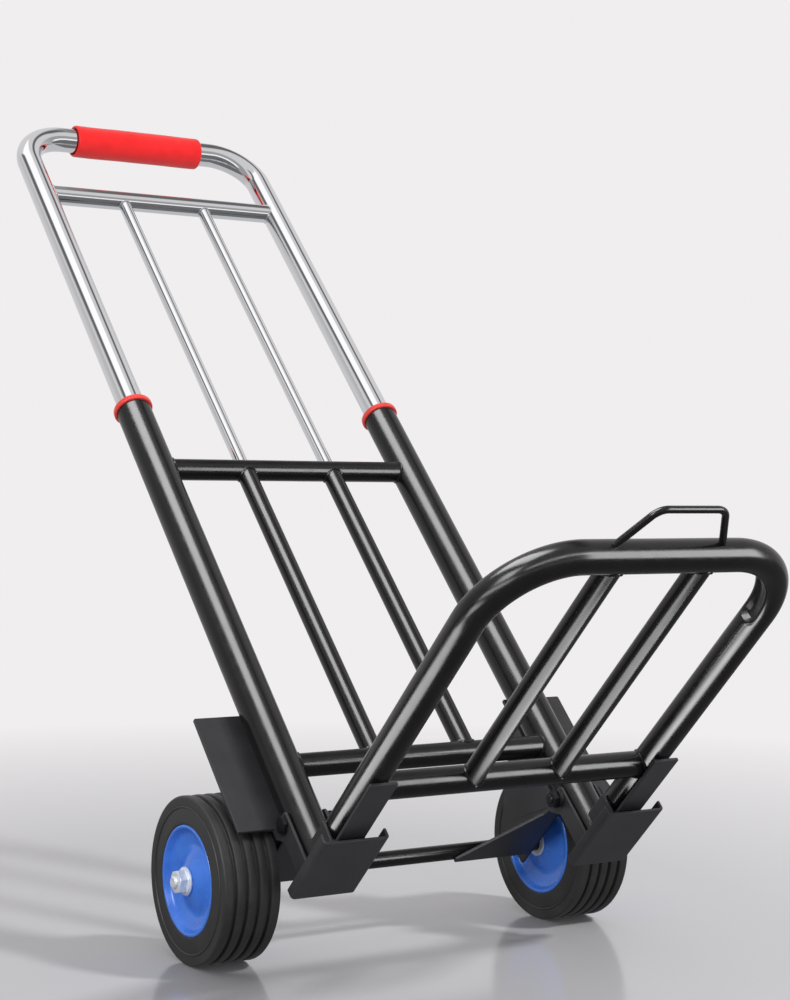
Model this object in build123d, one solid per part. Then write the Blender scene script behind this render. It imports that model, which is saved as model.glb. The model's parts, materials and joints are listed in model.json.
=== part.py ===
"""Folding hand truck: welded tube frame, telescoping handle, folding platform, two wheels.

Every piece is drawn upright with the axle's middle at the origin: x across, y to the back,
z along the frame. At the end the whole truck is leaned back on its wheels and set on the floor.
"""
import os
from math import cos, radians, sin, sqrt
from build123d import *

# Pose
LEAN = 45.0

# Fits and clearances
SLIDE_GAP = 0.1
TURN_GAP = 0.05
SIDE_GAP = 0.3
HOLE_GAP = 0.1
BUSH_WALL = 1.8
GUIDE_WALL = 1.05
WHEEL_GAP = 6.0
GUSSET_GAP = 10.25
STRAP_GAP = 0.5
CUT = 1.0

# Wheels and axle
WHEEL_RADIUS = 67.5
TYRE_WIDTH = 50.5
TRACK = 345.0
AXLE_RADIUS = 5.0
AXLE_TUBE_RADIUS = 6.8
AXLE_BEVEL = 0.8
THREAD_END = 2.5
WASHER_THICK = 1.6
WASHER_RADIUS = 11.5
NUT_ACROSS = 17.0
NUT_HEIGHT = 8.0
HUB_RADIUS = 8.0
HUB_RECESS = 0.6
HUB_SEAT = 5.4

# Tyre section
SIDEWALL_SINK = 0.3
SIDEWALL_BEAD = 3.0
RING_DROP = 9.1
RING_WIDTH = 1.4
RING_SLOPE = 0.8
SHOULDER_RADIUS = 1.8
TREAD_GROOVES = 4
GROOVE_WIDTH = 3.8
GROOVE_DEPTH = 2.5
GROOVE_SLOPE = 0.6
OUTER_RIB = 6.25

# Rim section
RIM_RADIUS = 44.5
RIM_SHEET = 2.2
LIP_HEIGHT = 4.0
LIP_DEPTH = 4.0
LIP_WIDTH = 2.6
LIP_SLOPE = 2.9
LIP_FALL = 6.2
DISH_RADIUS = 27.5
DISH_DEPTH = 9.4
BOSS_BEVEL = 1.0

# Frame
TUBE_SPACING = 266.0
FRAME_TUBE_RADIUS = 16.0
TUBE_WALL = 1.5
FOOT_DROP = 42.0
FRAME_TOP = 447.0
CROSSBAR_RADIUS = 9.75
UPPER_CROSSBAR = 372.0
LOWER_CROSSBAR = 37.5
SLEEVE_RADIUS = 8.75
SLEEVE_X = 45.3
COLLAR_RADIUS = 18.2
COLLAR_LIP = 5.5
COLLAR_ROUND = 2.2
COLLAR_DEPTH = 28.0
FOOT_PLUG_GAP = 20.0
FOOT_PLUG_RECESS = 3.0
FOOT_PLUG_WALL = 2.0

# Wheel brackets
BRACKET_SHEET = 3.0
BRACKET_INWARD = 11.0
BRACKET_OUTWARD = 50.0
BRACKET_TOP = 103.0
BRACKET_CORNER = 1.5
GUSSET_TIP = 56.0
GUSSET_ROOT = 8.0
GUSSET_WAIST = 17.0
GUSSET_NECK = 18.4
GUSSET_LIP = 2.0
WEB_REAR = 16.0
WEB_STEP = 34.0

# Handle
HANDLE_TOP = 865.0
HANDLE_BEND = 48.0
HANDLE_OVERLAP = 107.0
HANDLE_BAR_DROP = 98.0
HANDLE_BAR_RADIUS = 9.6
GRIP_LENGTH = 144.0
GRIP_RADIUS = 17.0
GRIP_ROUND = 2.2
GUIDE_LENGTH = 22.0
BUSH_LENGTH = 26.0
ROD_STOP_HEIGHT = 18.0
STROKE_SPARE = 3.0

# Platform
PLATFORM_DROP = 35.5
PLATFORM_TUBE_RADIUS = 12.5
PLATFORM_SETBACK = 41.5
PLATFORM_LENGTH = 301.5
PLATFORM_BEND = 65.0
PLATFORM_BAR_SETBACK = 51.3
PLATFORM_BAR_RADIUS = 10.75
PLATFORM_ROD_RADIUS = 8.8
PLATFORM_ROD_X = 40.7
PLATFORM_ROD_DROP = 1.5
PLUG_DEPTH = 12.0
PLUG_CAP = 2.5
PLUG_STEP = 0.4
PLUG_ROUND = 1.5
LOOP_WIRE_RADIUS = 2.75
LOOP_HALF_BASE = 48.5
LOOP_HALF_TOP = 29.5
LOOP_REACH = 47.0
LOOP_ROOT = 4.0
LOOP_BEND = 13.0

# Hinge shoes
PIVOT_DROP = 17.5
PIVOT_RADIUS = 4.0
PIVOT_HEAD_ACROSS = 13.0
PIVOT_HEAD_HEIGHT = 3.6
PIVOT_NUT_ACROSS = 13.0
PIVOT_NUT_HEIGHT = 5.0
PIVOT_THREAD_END = 1.5
PIVOT_WASHER_RADIUS = 8.0
PIVOT_WASHER_THICK = 1.2
RING_RADIUS = 7.2
RING_THICK = 1.7
RING_ROUND = 0.5
SHOE_WIDTH = 57.0
SHOE_SHEET = 2.5
SHOE_BEND = 2.25
SHOE_FLANGE = 9.5
SHOE_DROP = 7.3
SHOE_BEHIND_EAR = 6.25
SHOE_PAST_CHEEK = 10.5
EAR_SHEET = 2.5
EAR_WIDTH = 18.5
EAR_HEAD_RADIUS = 8.0
HEEL_HEIGHT = 8.0
CHEEK_SHEET = 2.5
CHEEK_BEHIND = 24.0
CHEEK_OVERLAP = 4.0
CHEEK_RISE = 6.0
STRAP_SHEET = 3.0
STRAP_INSET = 9.0
STRAP_REACH = 74.0
STRAP_STEP_BEHIND = 8.0
STRAP_STEP_AHEAD = 4.0

# Places that follow from the sizes above
TUBE_X = TUBE_SPACING / 2
WHEEL_X = TRACK / 2
FRAME_OFFSET = WHEEL_RADIUS + WHEEL_GAP + BRACKET_SHEET + FRAME_TUBE_RADIUS
FRAME_Y = -FRAME_OFFSET
FRAME_BORE = FRAME_TUBE_RADIUS - TUBE_WALL
SLEEVE_BORE = SLEEVE_RADIUS - TUBE_WALL
HANDLE_TUBE_RADIUS = FRAME_BORE - BUSH_WALL
HANDLE_ROD_RADIUS = SLEEVE_BORE - GUIDE_WALL
HANDLE_CROSSBAR = HANDLE_TOP - HANDLE_BAR_DROP
HANDLE_TUBE_END = FRAME_TOP - HANDLE_OVERLAP
HUB_HALF = TYRE_WIDTH / 2 - HUB_RECESS
RIM_SEAT_RADIUS = RIM_RADIUS - LIP_HEIGHT
GUSSET_EDGE = WHEEL_X - TYRE_WIDTH / 2 - GUSSET_GAP
BRACKET_INNER = min(TUBE_X, GUSSET_EDGE) - BRACKET_INWARD
BRACKET_OUTER = TUBE_X + BRACKET_OUTWARD
PIVOT_LEVEL = -PIVOT_DROP
FRAME_BOTTOM = PIVOT_LEVEL - FOOT_DROP
PLATFORM_LEVEL = PIVOT_LEVEL - PLATFORM_DROP
PLATFORM_BACK = FRAME_OFFSET + PLATFORM_SETBACK
PLATFORM_FRONT = PLATFORM_BACK + PLATFORM_LENGTH
PLATFORM_CROSSBAR = PLATFORM_BACK + PLATFORM_BAR_SETBACK
STRAP_TOP = PLATFORM_LEVEL - PLATFORM_TUBE_RADIUS
STRAP_WIDTH = 2 * (PLATFORM_TUBE_RADIUS - STRAP_GAP)
SHOE_TOP = STRAP_TOP - SHOE_DROP
SHOE_BOTTOM = SHOE_TOP - SHOE_SHEET
SHOE_BACK = FRAME_OFFSET - EAR_WIDTH / 2 - SHOE_BEHIND_EAR
CHEEK_BACK = PLATFORM_BACK - CHEEK_BEHIND
CHEEK_FRONT = PLATFORM_BACK + CHEEK_OVERLAP
CHEEK_TOP = PLATFORM_LEVEL + CHEEK_RISE
SHOE_FRONT = CHEEK_FRONT + SHOE_PAST_CHEEK
STRAP_BACK = SHOE_BACK + STRAP_INSET
STRAP_FRONT = PLATFORM_BACK + STRAP_REACH
EAR_OUT = TUBE_X + FRAME_TUBE_RADIUS + SIDE_GAP
EAR_IN = TUBE_X - FRAME_TUBE_RADIUS - SIDE_GAP
PIVOT_STACK = EAR_IN - EAR_SHEET - SIDE_GAP - 2 * RING_THICK
GUIDE_BOTTOM = UPPER_CROSSBAR - CROSSBAR_RADIUS - GUIDE_LENGTH
ROD_STOP_TOP = GUIDE_BOTTOM - SIDE_GAP
ROD_END = ROD_STOP_TOP - ROD_STOP_HEIGHT
STROKE = ROD_END - LOWER_CROSSBAR - CROSSBAR_RADIUS - STROKE_SPARE


def rod_x(x0, x1, y, z, radius):
    """Solid round bar along x."""
    return Pos((x0 + x1) / 2, y, z) * Rot(0, 90, 0) * Cylinder(radius, abs(x1 - x0))


def rod_y(y0, y1, x, z, radius):
    """Solid round bar along y."""
    return Pos(x, (y0 + y1) / 2, z) * Rot(90, 0, 0) * Cylinder(radius, abs(y1 - y0))


def rod_z(z0, z1, x, y, radius):
    """Solid round bar along z."""
    return Pos(x, y, (z0 + z1) / 2) * Cylinder(radius, abs(z1 - z0))


def block(x0, x1, y0, y1, z0, z1):
    """Solid box between two corners."""
    return Pos((x0 + x1) / 2, (y0 + y1) / 2, (z0 + z1) / 2) * Box(abs(x1 - x0), abs(y1 - y0), abs(z1 - z0))


def bent_rod(points, bend, radius):
    """Round bar swept along a line with rounded corners."""
    path = FilletPolyline(*points, radius=bend)
    section = Plane(origin=path @ 0, z_dir=path % 0) * Circle(radius)
    return sweep(section, path=path)


def turned_x(points, x):
    """Solid of revolution about the axle from (radius, axial) points, set at x."""
    face = make_face(Polyline(*[(axial, radius) for radius, axial in points], close=True))
    return Pos(x, 0, 0) * revolve(face, axis=Axis.X)


def hexagon_x(x0, x1, y, z, across):
    """Hexagonal block along x with its corners turned down."""
    body = Pos(x0, y, z) * Rot(0, 90, 0) * extrude(RegularPolygon(across / 2, 6, major_radius=False), x1 - x0)
    corner = across / sqrt(3)
    bevel = corner - across / 2
    limit = rod_x(x0, x1, y, z, corner)
    limit = chamfer(limit.edges(), bevel * 0.5, bevel * 0.98)
    return body & limit


def mirrored(shape):
    """The same piece on the other side of the truck."""
    return mirror(shape, about=Plane.YZ)


def pair(shape):
    """A piece and its mirror image, as separate solids in one node."""
    return Compound(children=[*shape.solids(), *mirrored(shape).solids()])


def frame_tube():
    """Left main tube, open at the top for the handle and drilled at the foot for the pivot."""
    tube = rod_z(FRAME_BOTTOM, FRAME_TOP, -TUBE_X, FRAME_Y, FRAME_TUBE_RADIUS)
    tube -= rod_z(FRAME_BOTTOM - CUT, FRAME_TOP + CUT, -TUBE_X, FRAME_Y, FRAME_BORE)
    reach = FRAME_TUBE_RADIUS + CUT
    return tube - rod_x(-TUBE_X - reach, -TUBE_X + reach, FRAME_Y, PIVOT_LEVEL, PIVOT_RADIUS + HOLE_GAP)


def frame_crossbar(level):
    """Hollow bar between the main tubes, its ends coped to their walls."""
    bar = rod_x(-TUBE_X, TUBE_X, FRAME_Y, level, CROSSBAR_RADIUS)
    bar -= rod_x(-TUBE_X - CUT, TUBE_X + CUT, FRAME_Y, level, CROSSBAR_RADIUS - TUBE_WALL)
    reach = CROSSBAR_RADIUS + CUT
    for x in (-TUBE_X, TUBE_X):
        bar -= rod_z(level - reach, level + reach, x, FRAME_Y, FRAME_TUBE_RADIUS)
    return bar


def upper_crossbar():
    """Upper bar, drilled through for the sliding handle rods."""
    bar = frame_crossbar(UPPER_CROSSBAR)
    reach = CROSSBAR_RADIUS + CUT
    for x in (-SLEEVE_X, SLEEVE_X):
        bar -= rod_z(UPPER_CROSSBAR - reach, UPPER_CROSSBAR + reach, x, FRAME_Y, HANDLE_ROD_RADIUS + SIDE_GAP)
    return bar


def rod_sleeve():
    """Left back rod, a tube coped between the two crossbars."""
    tube = rod_z(LOWER_CROSSBAR, UPPER_CROSSBAR, -SLEEVE_X, FRAME_Y, SLEEVE_RADIUS)
    tube -= rod_z(LOWER_CROSSBAR - CUT, UPPER_CROSSBAR + CUT, -SLEEVE_X, FRAME_Y, SLEEVE_BORE)
    reach = SLEEVE_RADIUS + CUT
    for level in (LOWER_CROSSBAR, UPPER_CROSSBAR):
        tube -= rod_x(-SLEEVE_X - reach, -SLEEVE_X + reach, FRAME_Y, level, CROSSBAR_RADIUS)
    return tube


def rod_guide():
    """Left guide bush, pushed into the top of the back rod."""
    top = UPPER_CROSSBAR - CROSSBAR_RADIUS
    bush = rod_z(GUIDE_BOTTOM, top, -SLEEVE_X, FRAME_Y, SLEEVE_BORE)
    return bush - rod_z(GUIDE_BOTTOM - CUT, top + CUT, -SLEEVE_X, FRAME_Y, HANDLE_ROD_RADIUS + SLIDE_GAP)


def collar():
    """Left collar: a lip on the tube's end and a spigot inside it that guides the handle."""
    lip = rod_z(FRAME_TOP, FRAME_TOP + COLLAR_LIP, -TUBE_X, FRAME_Y, COLLAR_RADIUS)
    lip = fillet(lip.edges().filter_by(GeomType.CIRCLE).sort_by(Axis.Z)[-1], COLLAR_ROUND)
    ring = lip + rod_z(FRAME_TOP - COLLAR_DEPTH, FRAME_TOP, -TUBE_X, FRAME_Y, FRAME_BORE)
    bore = HANDLE_TUBE_RADIUS + SLIDE_GAP
    return ring - rod_z(FRAME_TOP - COLLAR_DEPTH - CUT, FRAME_TOP + COLLAR_LIP + CUT, -TUBE_X, FRAME_Y, bore)


def end_plug():
    """Left plug in the foot of the main tube."""
    plug = rod_z(FRAME_BOTTOM, PIVOT_LEVEL - PIVOT_RADIUS - FOOT_PLUG_GAP, -TUBE_X, FRAME_Y, FRAME_BORE)
    hollow = FRAME_BORE - FOOT_PLUG_WALL
    return plug - rod_z(FRAME_BOTTOM - CUT, FRAME_BOTTOM + FOOT_PLUG_RECESS, -TUBE_X, FRAME_Y, hollow)


def wheel_bracket():
    """Left bracket: a guard plate behind the tube, a gusset under the axle tube and a web beside the wheel."""
    front = FRAME_Y + FRAME_TUBE_RADIUS
    back = front + BRACKET_SHEET
    foot = -AXLE_TUBE_RADIUS - BRACKET_SHEET
    plate = block(-BRACKET_OUTER, -BRACKET_INNER, front, back, foot, BRACKET_TOP)
    plate = fillet(plate.edges().filter_by(Axis.Y), BRACKET_CORNER)
    outline = Polyline(
        (-GUSSET_TIP, GUSSET_LIP),
        (-GUSSET_EDGE, GUSSET_LIP),
        (-GUSSET_EDGE, front),
        (-GUSSET_EDGE + GUSSET_ROOT, front),
        (-GUSSET_EDGE + GUSSET_WAIST, front + GUSSET_NECK),
        (-GUSSET_TIP, -GUSSET_LIP),
        close=True,
    )
    gusset = Pos(0, 0, foot) * extrude(make_face(outline), BRACKET_SHEET)
    side = Polyline((back, foot), (WEB_REAR, foot), (WEB_REAR, WEB_STEP), (back, BRACKET_TOP), close=True)
    web = Pos(-GUSSET_EDGE, 0, 0) * extrude(Plane.YZ * make_face(side), BRACKET_SHEET)
    inside = -GUSSET_EDGE + BRACKET_SHEET + CUT
    web -= rod_x(-GUSSET_EDGE - CUT, inside, 0, 0, AXLE_TUBE_RADIUS + HOLE_GAP)
    return plate + gusset + web


def axle_tube():
    """Spacer tube between the wheels."""
    end = WHEEL_X - HUB_HALF - SIDE_GAP - WASHER_THICK
    tube = rod_x(-end, end, 0, 0, AXLE_TUBE_RADIUS)
    return tube - rod_x(-end - CUT, end + CUT, 0, 0, AXLE_RADIUS)


def axle_rod():
    """Through axle with bevelled ends."""
    end = WHEEL_X + HUB_HALF + SIDE_GAP + WASHER_THICK + NUT_HEIGHT + THREAD_END
    rod = rod_x(-end, end, 0, 0, AXLE_RADIUS)
    return chamfer(rod.edges().filter_by(GeomType.CIRCLE), AXLE_BEVEL)


def axle_washers():
    """Washers on both sides of both wheels."""
    solids = []
    for x in (WHEEL_X - HUB_HALF - SIDE_GAP - WASHER_THICK, WHEEL_X + HUB_HALF + SIDE_GAP):
        ring = rod_x(x, x + WASHER_THICK, 0, 0, WASHER_RADIUS)
        ring -= rod_x(x - CUT, x + WASHER_THICK + CUT, 0, 0, AXLE_RADIUS)
        solids.extend(pair(ring).solids())
    return Compound(children=solids)


def axle_nuts():
    """Nuts on the axle's ends."""
    x = WHEEL_X + HUB_HALF + SIDE_GAP + WASHER_THICK
    nut = hexagon_x(x, x + NUT_HEIGHT, 0, 0, NUT_ACROSS)
    return pair(nut - rod_x(x - CUT, x + NUT_HEIGHT + CUT, 0, 0, AXLE_RADIUS))


def tyre(x):
    """Solid tyre with a round shoulder, a raised sidewall ring and grooves round the tread."""
    half = TYRE_WIDTH / 2
    lip = half - LIP_DEPTH
    wall = half - SIDEWALL_SINK
    band = WHEEL_RADIUS - RING_DROP
    section = [
        (RIM_SEAT_RADIUS, lip),
        (RIM_RADIUS, lip),
        (RIM_RADIUS, wall - SIDEWALL_SINK),
        (RIM_RADIUS + SIDEWALL_BEAD, wall),
        (band - RING_WIDTH / 2 - RING_SLOPE, wall),
        (band - RING_WIDTH / 2, half),
        (band + RING_WIDTH / 2, half),
        (band + RING_WIDTH / 2 + RING_SLOPE, wall),
        (WHEEL_RADIUS, wall),
    ]
    tread = []
    first = wall - SHOULDER_RADIUS - OUTER_RIB - GROOVE_WIDTH / 2
    for i in range(TREAD_GROOVES):
        middle = first * (1 - 2 * i / (TREAD_GROOVES - 1))
        tread.append((WHEEL_RADIUS, middle + GROOVE_WIDTH / 2))
        tread.append((WHEEL_RADIUS - GROOVE_DEPTH, middle + GROOVE_WIDTH / 2 - GROOVE_SLOPE))
        tread.append((WHEEL_RADIUS - GROOVE_DEPTH, middle - GROOVE_WIDTH / 2 + GROOVE_SLOPE))
        tread.append((WHEEL_RADIUS, middle - GROOVE_WIDTH / 2))
    other_side = [(radius, -axial) for radius, axial in reversed(section)]
    solid = turned_x(section + tread + other_side, x)
    corners = []
    for edge in solid.edges().filter_by(GeomType.CIRCLE):
        sideways = abs(edge.arc_center.X - x)
        if abs(edge.radius - WHEEL_RADIUS) < 1e-3 and abs(sideways - wall) < 1e-3:
            corners.append(edge)
    return fillet(corners, SHOULDER_RADIUS)


def rim_half(x, side):
    """Pressed half rim: seat, lip, dish and hub cone, open towards the wheel's middle."""
    half = TYRE_WIDTH / 2
    lip = half - LIP_DEPTH
    boss = HUB_RADIUS + RIM_SHEET
    back = half - DISH_DEPTH - RIM_SHEET
    face = [
        (RIM_SEAT_RADIUS, 0.0),
        (RIM_SEAT_RADIUS, lip),
        (RIM_RADIUS, lip),
        (RIM_RADIUS, HUB_HALF),
        (RIM_RADIUS - LIP_WIDTH / 2, half - SIDEWALL_SINK),
        (RIM_RADIUS - LIP_WIDTH, HUB_HALF),
        (RIM_RADIUS - LIP_WIDTH - LIP_SLOPE, half - LIP_FALL),
        (DISH_RADIUS, half - DISH_DEPTH),
        (boss + 2 * BOSS_BEVEL, HUB_HALF - BOSS_BEVEL),
        (boss, HUB_HALF),
        (HUB_RADIUS, HUB_HALF),
        (HUB_RADIUS, HUB_HALF - HUB_SEAT),
        (DISH_RADIUS, back),
        (RIM_SEAT_RADIUS - RIM_SHEET, back + RIM_SHEET),
        (RIM_SEAT_RADIUS - RIM_SHEET, 0.0),
    ]
    return turned_x([(radius, axial * side) for radius, axial in face], x)


def hub_sleeve(x):
    """Bearing sleeve that turns on the axle."""
    sleeve = rod_x(x - HUB_HALF, x + HUB_HALF, 0, 0, HUB_RADIUS)
    return sleeve - rod_x(x - HUB_HALF - CUT, x + HUB_HALF + CUT, 0, 0, AXLE_RADIUS + TURN_GAP)


def handle_tube():
    """Hollow hairpin: two legs down into the main tubes and the top bar."""
    legs = [
        (-TUBE_X, FRAME_Y, HANDLE_TUBE_END),
        (-TUBE_X, FRAME_Y, HANDLE_TOP),
        (TUBE_X, FRAME_Y, HANDLE_TOP),
        (TUBE_X, FRAME_Y, HANDLE_TUBE_END),
    ]
    bore = bent_rod(legs, HANDLE_BEND, HANDLE_TUBE_RADIUS - TUBE_WALL)
    return bent_rod(legs, HANDLE_BEND, HANDLE_TUBE_RADIUS) - bore


def handle_crossbar():
    """Hollow bar between the handle's legs, its ends coped."""
    bar = rod_x(-TUBE_X, TUBE_X, FRAME_Y, HANDLE_CROSSBAR, HANDLE_BAR_RADIUS)
    bar -= rod_x(-TUBE_X - CUT, TUBE_X + CUT, FRAME_Y, HANDLE_CROSSBAR, HANDLE_BAR_RADIUS - TUBE_WALL)
    reach = HANDLE_BAR_RADIUS + CUT
    for x in (-TUBE_X, TUBE_X):
        bar -= rod_z(HANDLE_CROSSBAR - reach, HANDLE_CROSSBAR + reach, x, FRAME_Y, HANDLE_TUBE_RADIUS)
    return bar


def handle_rod():
    """Left sliding rod, a tube coped under the handle's crossbar."""
    rod = rod_z(ROD_END, HANDLE_CROSSBAR, -SLEEVE_X, FRAME_Y, HANDLE_ROD_RADIUS)
    rod -= rod_z(ROD_END - CUT, HANDLE_CROSSBAR + CUT, -SLEEVE_X, FRAME_Y, HANDLE_ROD_RADIUS - TUBE_WALL)
    return rod - rod_x(-2 * SLEEVE_X, 0, FRAME_Y, HANDLE_CROSSBAR, HANDLE_BAR_RADIUS)


def rod_stop():
    """Left stop on the foot of the sliding rod, too wide to pass the guide bush."""
    ring = rod_z(ROD_END, ROD_STOP_TOP, -SLEEVE_X, FRAME_Y, SLEEVE_BORE - 2 * SLIDE_GAP)
    return ring - rod_z(ROD_END - CUT, ROD_STOP_TOP + CUT, -SLEEVE_X, FRAME_Y, HANDLE_ROD_RADIUS)


def slide_bush():
    """Left bush on the foot of the handle's leg, running inside the main tube."""
    top = HANDLE_TUBE_END + BUSH_LENGTH
    ring = rod_z(HANDLE_TUBE_END, top, -TUBE_X, FRAME_Y, FRAME_BORE - 2 * SLIDE_GAP)
    return ring - rod_z(HANDLE_TUBE_END - CUT, top + CUT, -TUBE_X, FRAME_Y, HANDLE_TUBE_RADIUS)


def grip():
    """Foam sleeve round the top bar."""
    end = GRIP_LENGTH / 2
    sleeve = rod_x(-end, end, FRAME_Y, HANDLE_TOP, GRIP_RADIUS)
    sleeve = fillet(sleeve.edges().filter_by(GeomType.CIRCLE), GRIP_ROUND)
    return sleeve - rod_x(-end - CUT, end + CUT, FRAME_Y, HANDLE_TOP, HANDLE_TUBE_RADIUS)


def platform_tube():
    """Hollow hairpin that carries the load."""
    line = [
        (-TUBE_X, -PLATFORM_BACK, PLATFORM_LEVEL),
        (-TUBE_X, -PLATFORM_FRONT, PLATFORM_LEVEL),
        (TUBE_X, -PLATFORM_FRONT, PLATFORM_LEVEL),
        (TUBE_X, -PLATFORM_BACK, PLATFORM_LEVEL),
    ]
    bore = PLATFORM_TUBE_RADIUS - TUBE_WALL
    return bent_rod(line, PLATFORM_BEND, PLATFORM_TUBE_RADIUS) - bent_rod(line, PLATFORM_BEND, bore)


def platform_crossbar():
    """Hollow bar between the platform's side tubes, its ends coped."""
    bar = rod_x(-TUBE_X, TUBE_X, -PLATFORM_CROSSBAR, PLATFORM_LEVEL, PLATFORM_BAR_RADIUS)
    bore = PLATFORM_BAR_RADIUS - TUBE_WALL
    bar -= rod_x(-TUBE_X - CUT, TUBE_X + CUT, -PLATFORM_CROSSBAR, PLATFORM_LEVEL, bore)
    back = -PLATFORM_CROSSBAR + PLATFORM_BAR_RADIUS + CUT
    front = -PLATFORM_CROSSBAR - PLATFORM_BAR_RADIUS - CUT
    for x in (-TUBE_X, TUBE_X):
        bar -= rod_y(front, back, x, PLATFORM_LEVEL, PLATFORM_TUBE_RADIUS)
    return bar


def platform_rod():
    """Left load rod, a tube coped between the crossbar and the front bar, a little below their middles."""
    level = PLATFORM_LEVEL - PLATFORM_ROD_DROP
    rod = rod_y(-PLATFORM_FRONT, -PLATFORM_CROSSBAR, -PLATFORM_ROD_X, level, PLATFORM_ROD_RADIUS)
    bore = PLATFORM_ROD_RADIUS - TUBE_WALL
    rod -= rod_y(-PLATFORM_FRONT - CUT, -PLATFORM_CROSSBAR + CUT, -PLATFORM_ROD_X, level, bore)
    rod -= rod_x(-TUBE_X, TUBE_X, -PLATFORM_CROSSBAR, PLATFORM_LEVEL, PLATFORM_BAR_RADIUS)
    return rod - rod_x(-TUBE_X, TUBE_X, -PLATFORM_FRONT, PLATFORM_LEVEL, PLATFORM_TUBE_RADIUS)


def platform_plug():
    """Left plug in the back end of the platform tube."""
    bore = PLATFORM_TUBE_RADIUS - TUBE_WALL
    plug = rod_y(-PLATFORM_BACK - PLUG_DEPTH, -PLATFORM_BACK, -TUBE_X, PLATFORM_LEVEL, bore)
    brim = PLATFORM_TUBE_RADIUS - PLUG_STEP
    cap = rod_y(-PLATFORM_BACK, -PLATFORM_BACK + PLUG_CAP, -TUBE_X, PLATFORM_LEVEL, brim)
    return plug + fillet(cap.edges().filter_by(GeomType.CIRCLE).sort_by(Axis.Y)[-1], PLUG_ROUND)


def carry_loop():
    """Wire loop welded to the front bar."""
    reach = PLATFORM_FRONT + LOOP_REACH
    line = [
        (-LOOP_HALF_BASE, -PLATFORM_FRONT - LOOP_ROOT, PLATFORM_LEVEL),
        (-LOOP_HALF_TOP, -reach, PLATFORM_LEVEL),
        (LOOP_HALF_TOP, -reach, PLATFORM_LEVEL),
        (LOOP_HALF_BASE, -PLATFORM_FRONT - LOOP_ROOT, PLATFORM_LEVEL),
    ]
    wire = bent_rod(line, LOOP_BEND, LOOP_WIRE_RADIUS)
    return wire - rod_x(-TUBE_X, TUBE_X, -PLATFORM_FRONT, PLATFORM_LEVEL, PLATFORM_TUBE_RADIUS)


def shoe():
    """Left shoe: a shallow channel under the foot of the tube."""
    left = -TUBE_X - SHOE_WIDTH / 2
    right = left + SHOE_WIDTH
    top = SHOE_BOTTOM + SHOE_FLANGE
    channel = block(left, right, -SHOE_FRONT, -SHOE_BACK, SHOE_BOTTOM, top)
    channel = fillet(channel.edges().filter_by(Axis.Y).sort_by(Axis.Z)[:2], SHOE_BEND)
    back = -SHOE_BACK + CUT
    front = -SHOE_FRONT - CUT
    inside = block(left + SHOE_SHEET, right - SHOE_SHEET, front, back, SHOE_TOP, top + CUT)
    return channel - inside


def ear(x0):
    """One upright of the hinge: a strap from the shoe to the pivot with a round head and a heel.

    The outer one's heel meets the foot of the wheel bracket when the platform is open.
    """
    half = EAR_WIDTH / 2
    heel_top = -AXLE_TUBE_RADIUS - BRACKET_SHEET - SIDE_GAP
    heel_back = FRAME_Y + FRAME_TUBE_RADIUS + BRACKET_SHEET
    outline = Polyline(
        (FRAME_Y - half, SHOE_TOP),
        (FRAME_Y + half, SHOE_TOP),
        (FRAME_Y + half, heel_top - HEEL_HEIGHT - (heel_back - FRAME_Y - half)),
        (heel_back, heel_top - HEEL_HEIGHT),
        (heel_back, heel_top),
        (FRAME_Y, heel_top),
        (FRAME_Y - EAR_HEAD_RADIUS, PIVOT_LEVEL),
        close=True,
    )
    strap = Pos(x0, 0, 0) * extrude(Plane.YZ * make_face(outline), EAR_SHEET)
    strap += rod_x(x0, x0 + EAR_SHEET, FRAME_Y, PIVOT_LEVEL, EAR_HEAD_RADIUS)
    return strap - rod_x(x0 - CUT, x0 + EAR_SHEET + CUT, FRAME_Y, PIVOT_LEVEL, PIVOT_RADIUS + HOLE_GAP)


def ears(side):
    """Both uprights of one hinge."""
    solids = [ear(EAR_OUT), ear(EAR_IN - EAR_SHEET)]
    if side < 0:
        solids = [mirrored(solid) for solid in solids]
    return Compound(children=[piece for solid in solids for piece in solid.solids()])


def strap():
    """Left strap: flat under the platform tube, stepped down to lie on the shoe."""
    low = SHOE_TOP
    high = STRAP_TOP - STRAP_SHEET
    step_back = PLATFORM_BACK - STRAP_STEP_BEHIND
    step_front = PLATFORM_BACK + STRAP_STEP_AHEAD
    side = Polyline(
        (-STRAP_BACK, low),
        (-step_back, low),
        (-step_front, high),
        (-STRAP_FRONT, high),
        (-STRAP_FRONT, high + STRAP_SHEET),
        (-step_front, high + STRAP_SHEET),
        (-step_back, low + STRAP_SHEET),
        (-STRAP_BACK, low + STRAP_SHEET),
        close=True,
    )
    face = Plane.YZ * make_face(side)
    return Pos(-TUBE_X - STRAP_WIDTH / 2, 0, 0) * extrude(face, STRAP_WIDTH)


def cheek(x0):
    """One cheek of the shoe, an upright plate beside the back end of the platform tube."""
    return block(x0, x0 + CHEEK_SHEET, -CHEEK_FRONT, -CHEEK_BACK, SHOE_TOP, CHEEK_TOP)


def cheeks(side):
    """Both cheeks of one shoe."""
    solids = [cheek(TUBE_X + PLATFORM_TUBE_RADIUS), cheek(TUBE_X - PLATFORM_TUBE_RADIUS - CHEEK_SHEET)]
    if side < 0:
        solids = [mirrored(solid) for solid in solids]
    return Compound(children=[piece for solid in solids for piece in solid.solids()])


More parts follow.
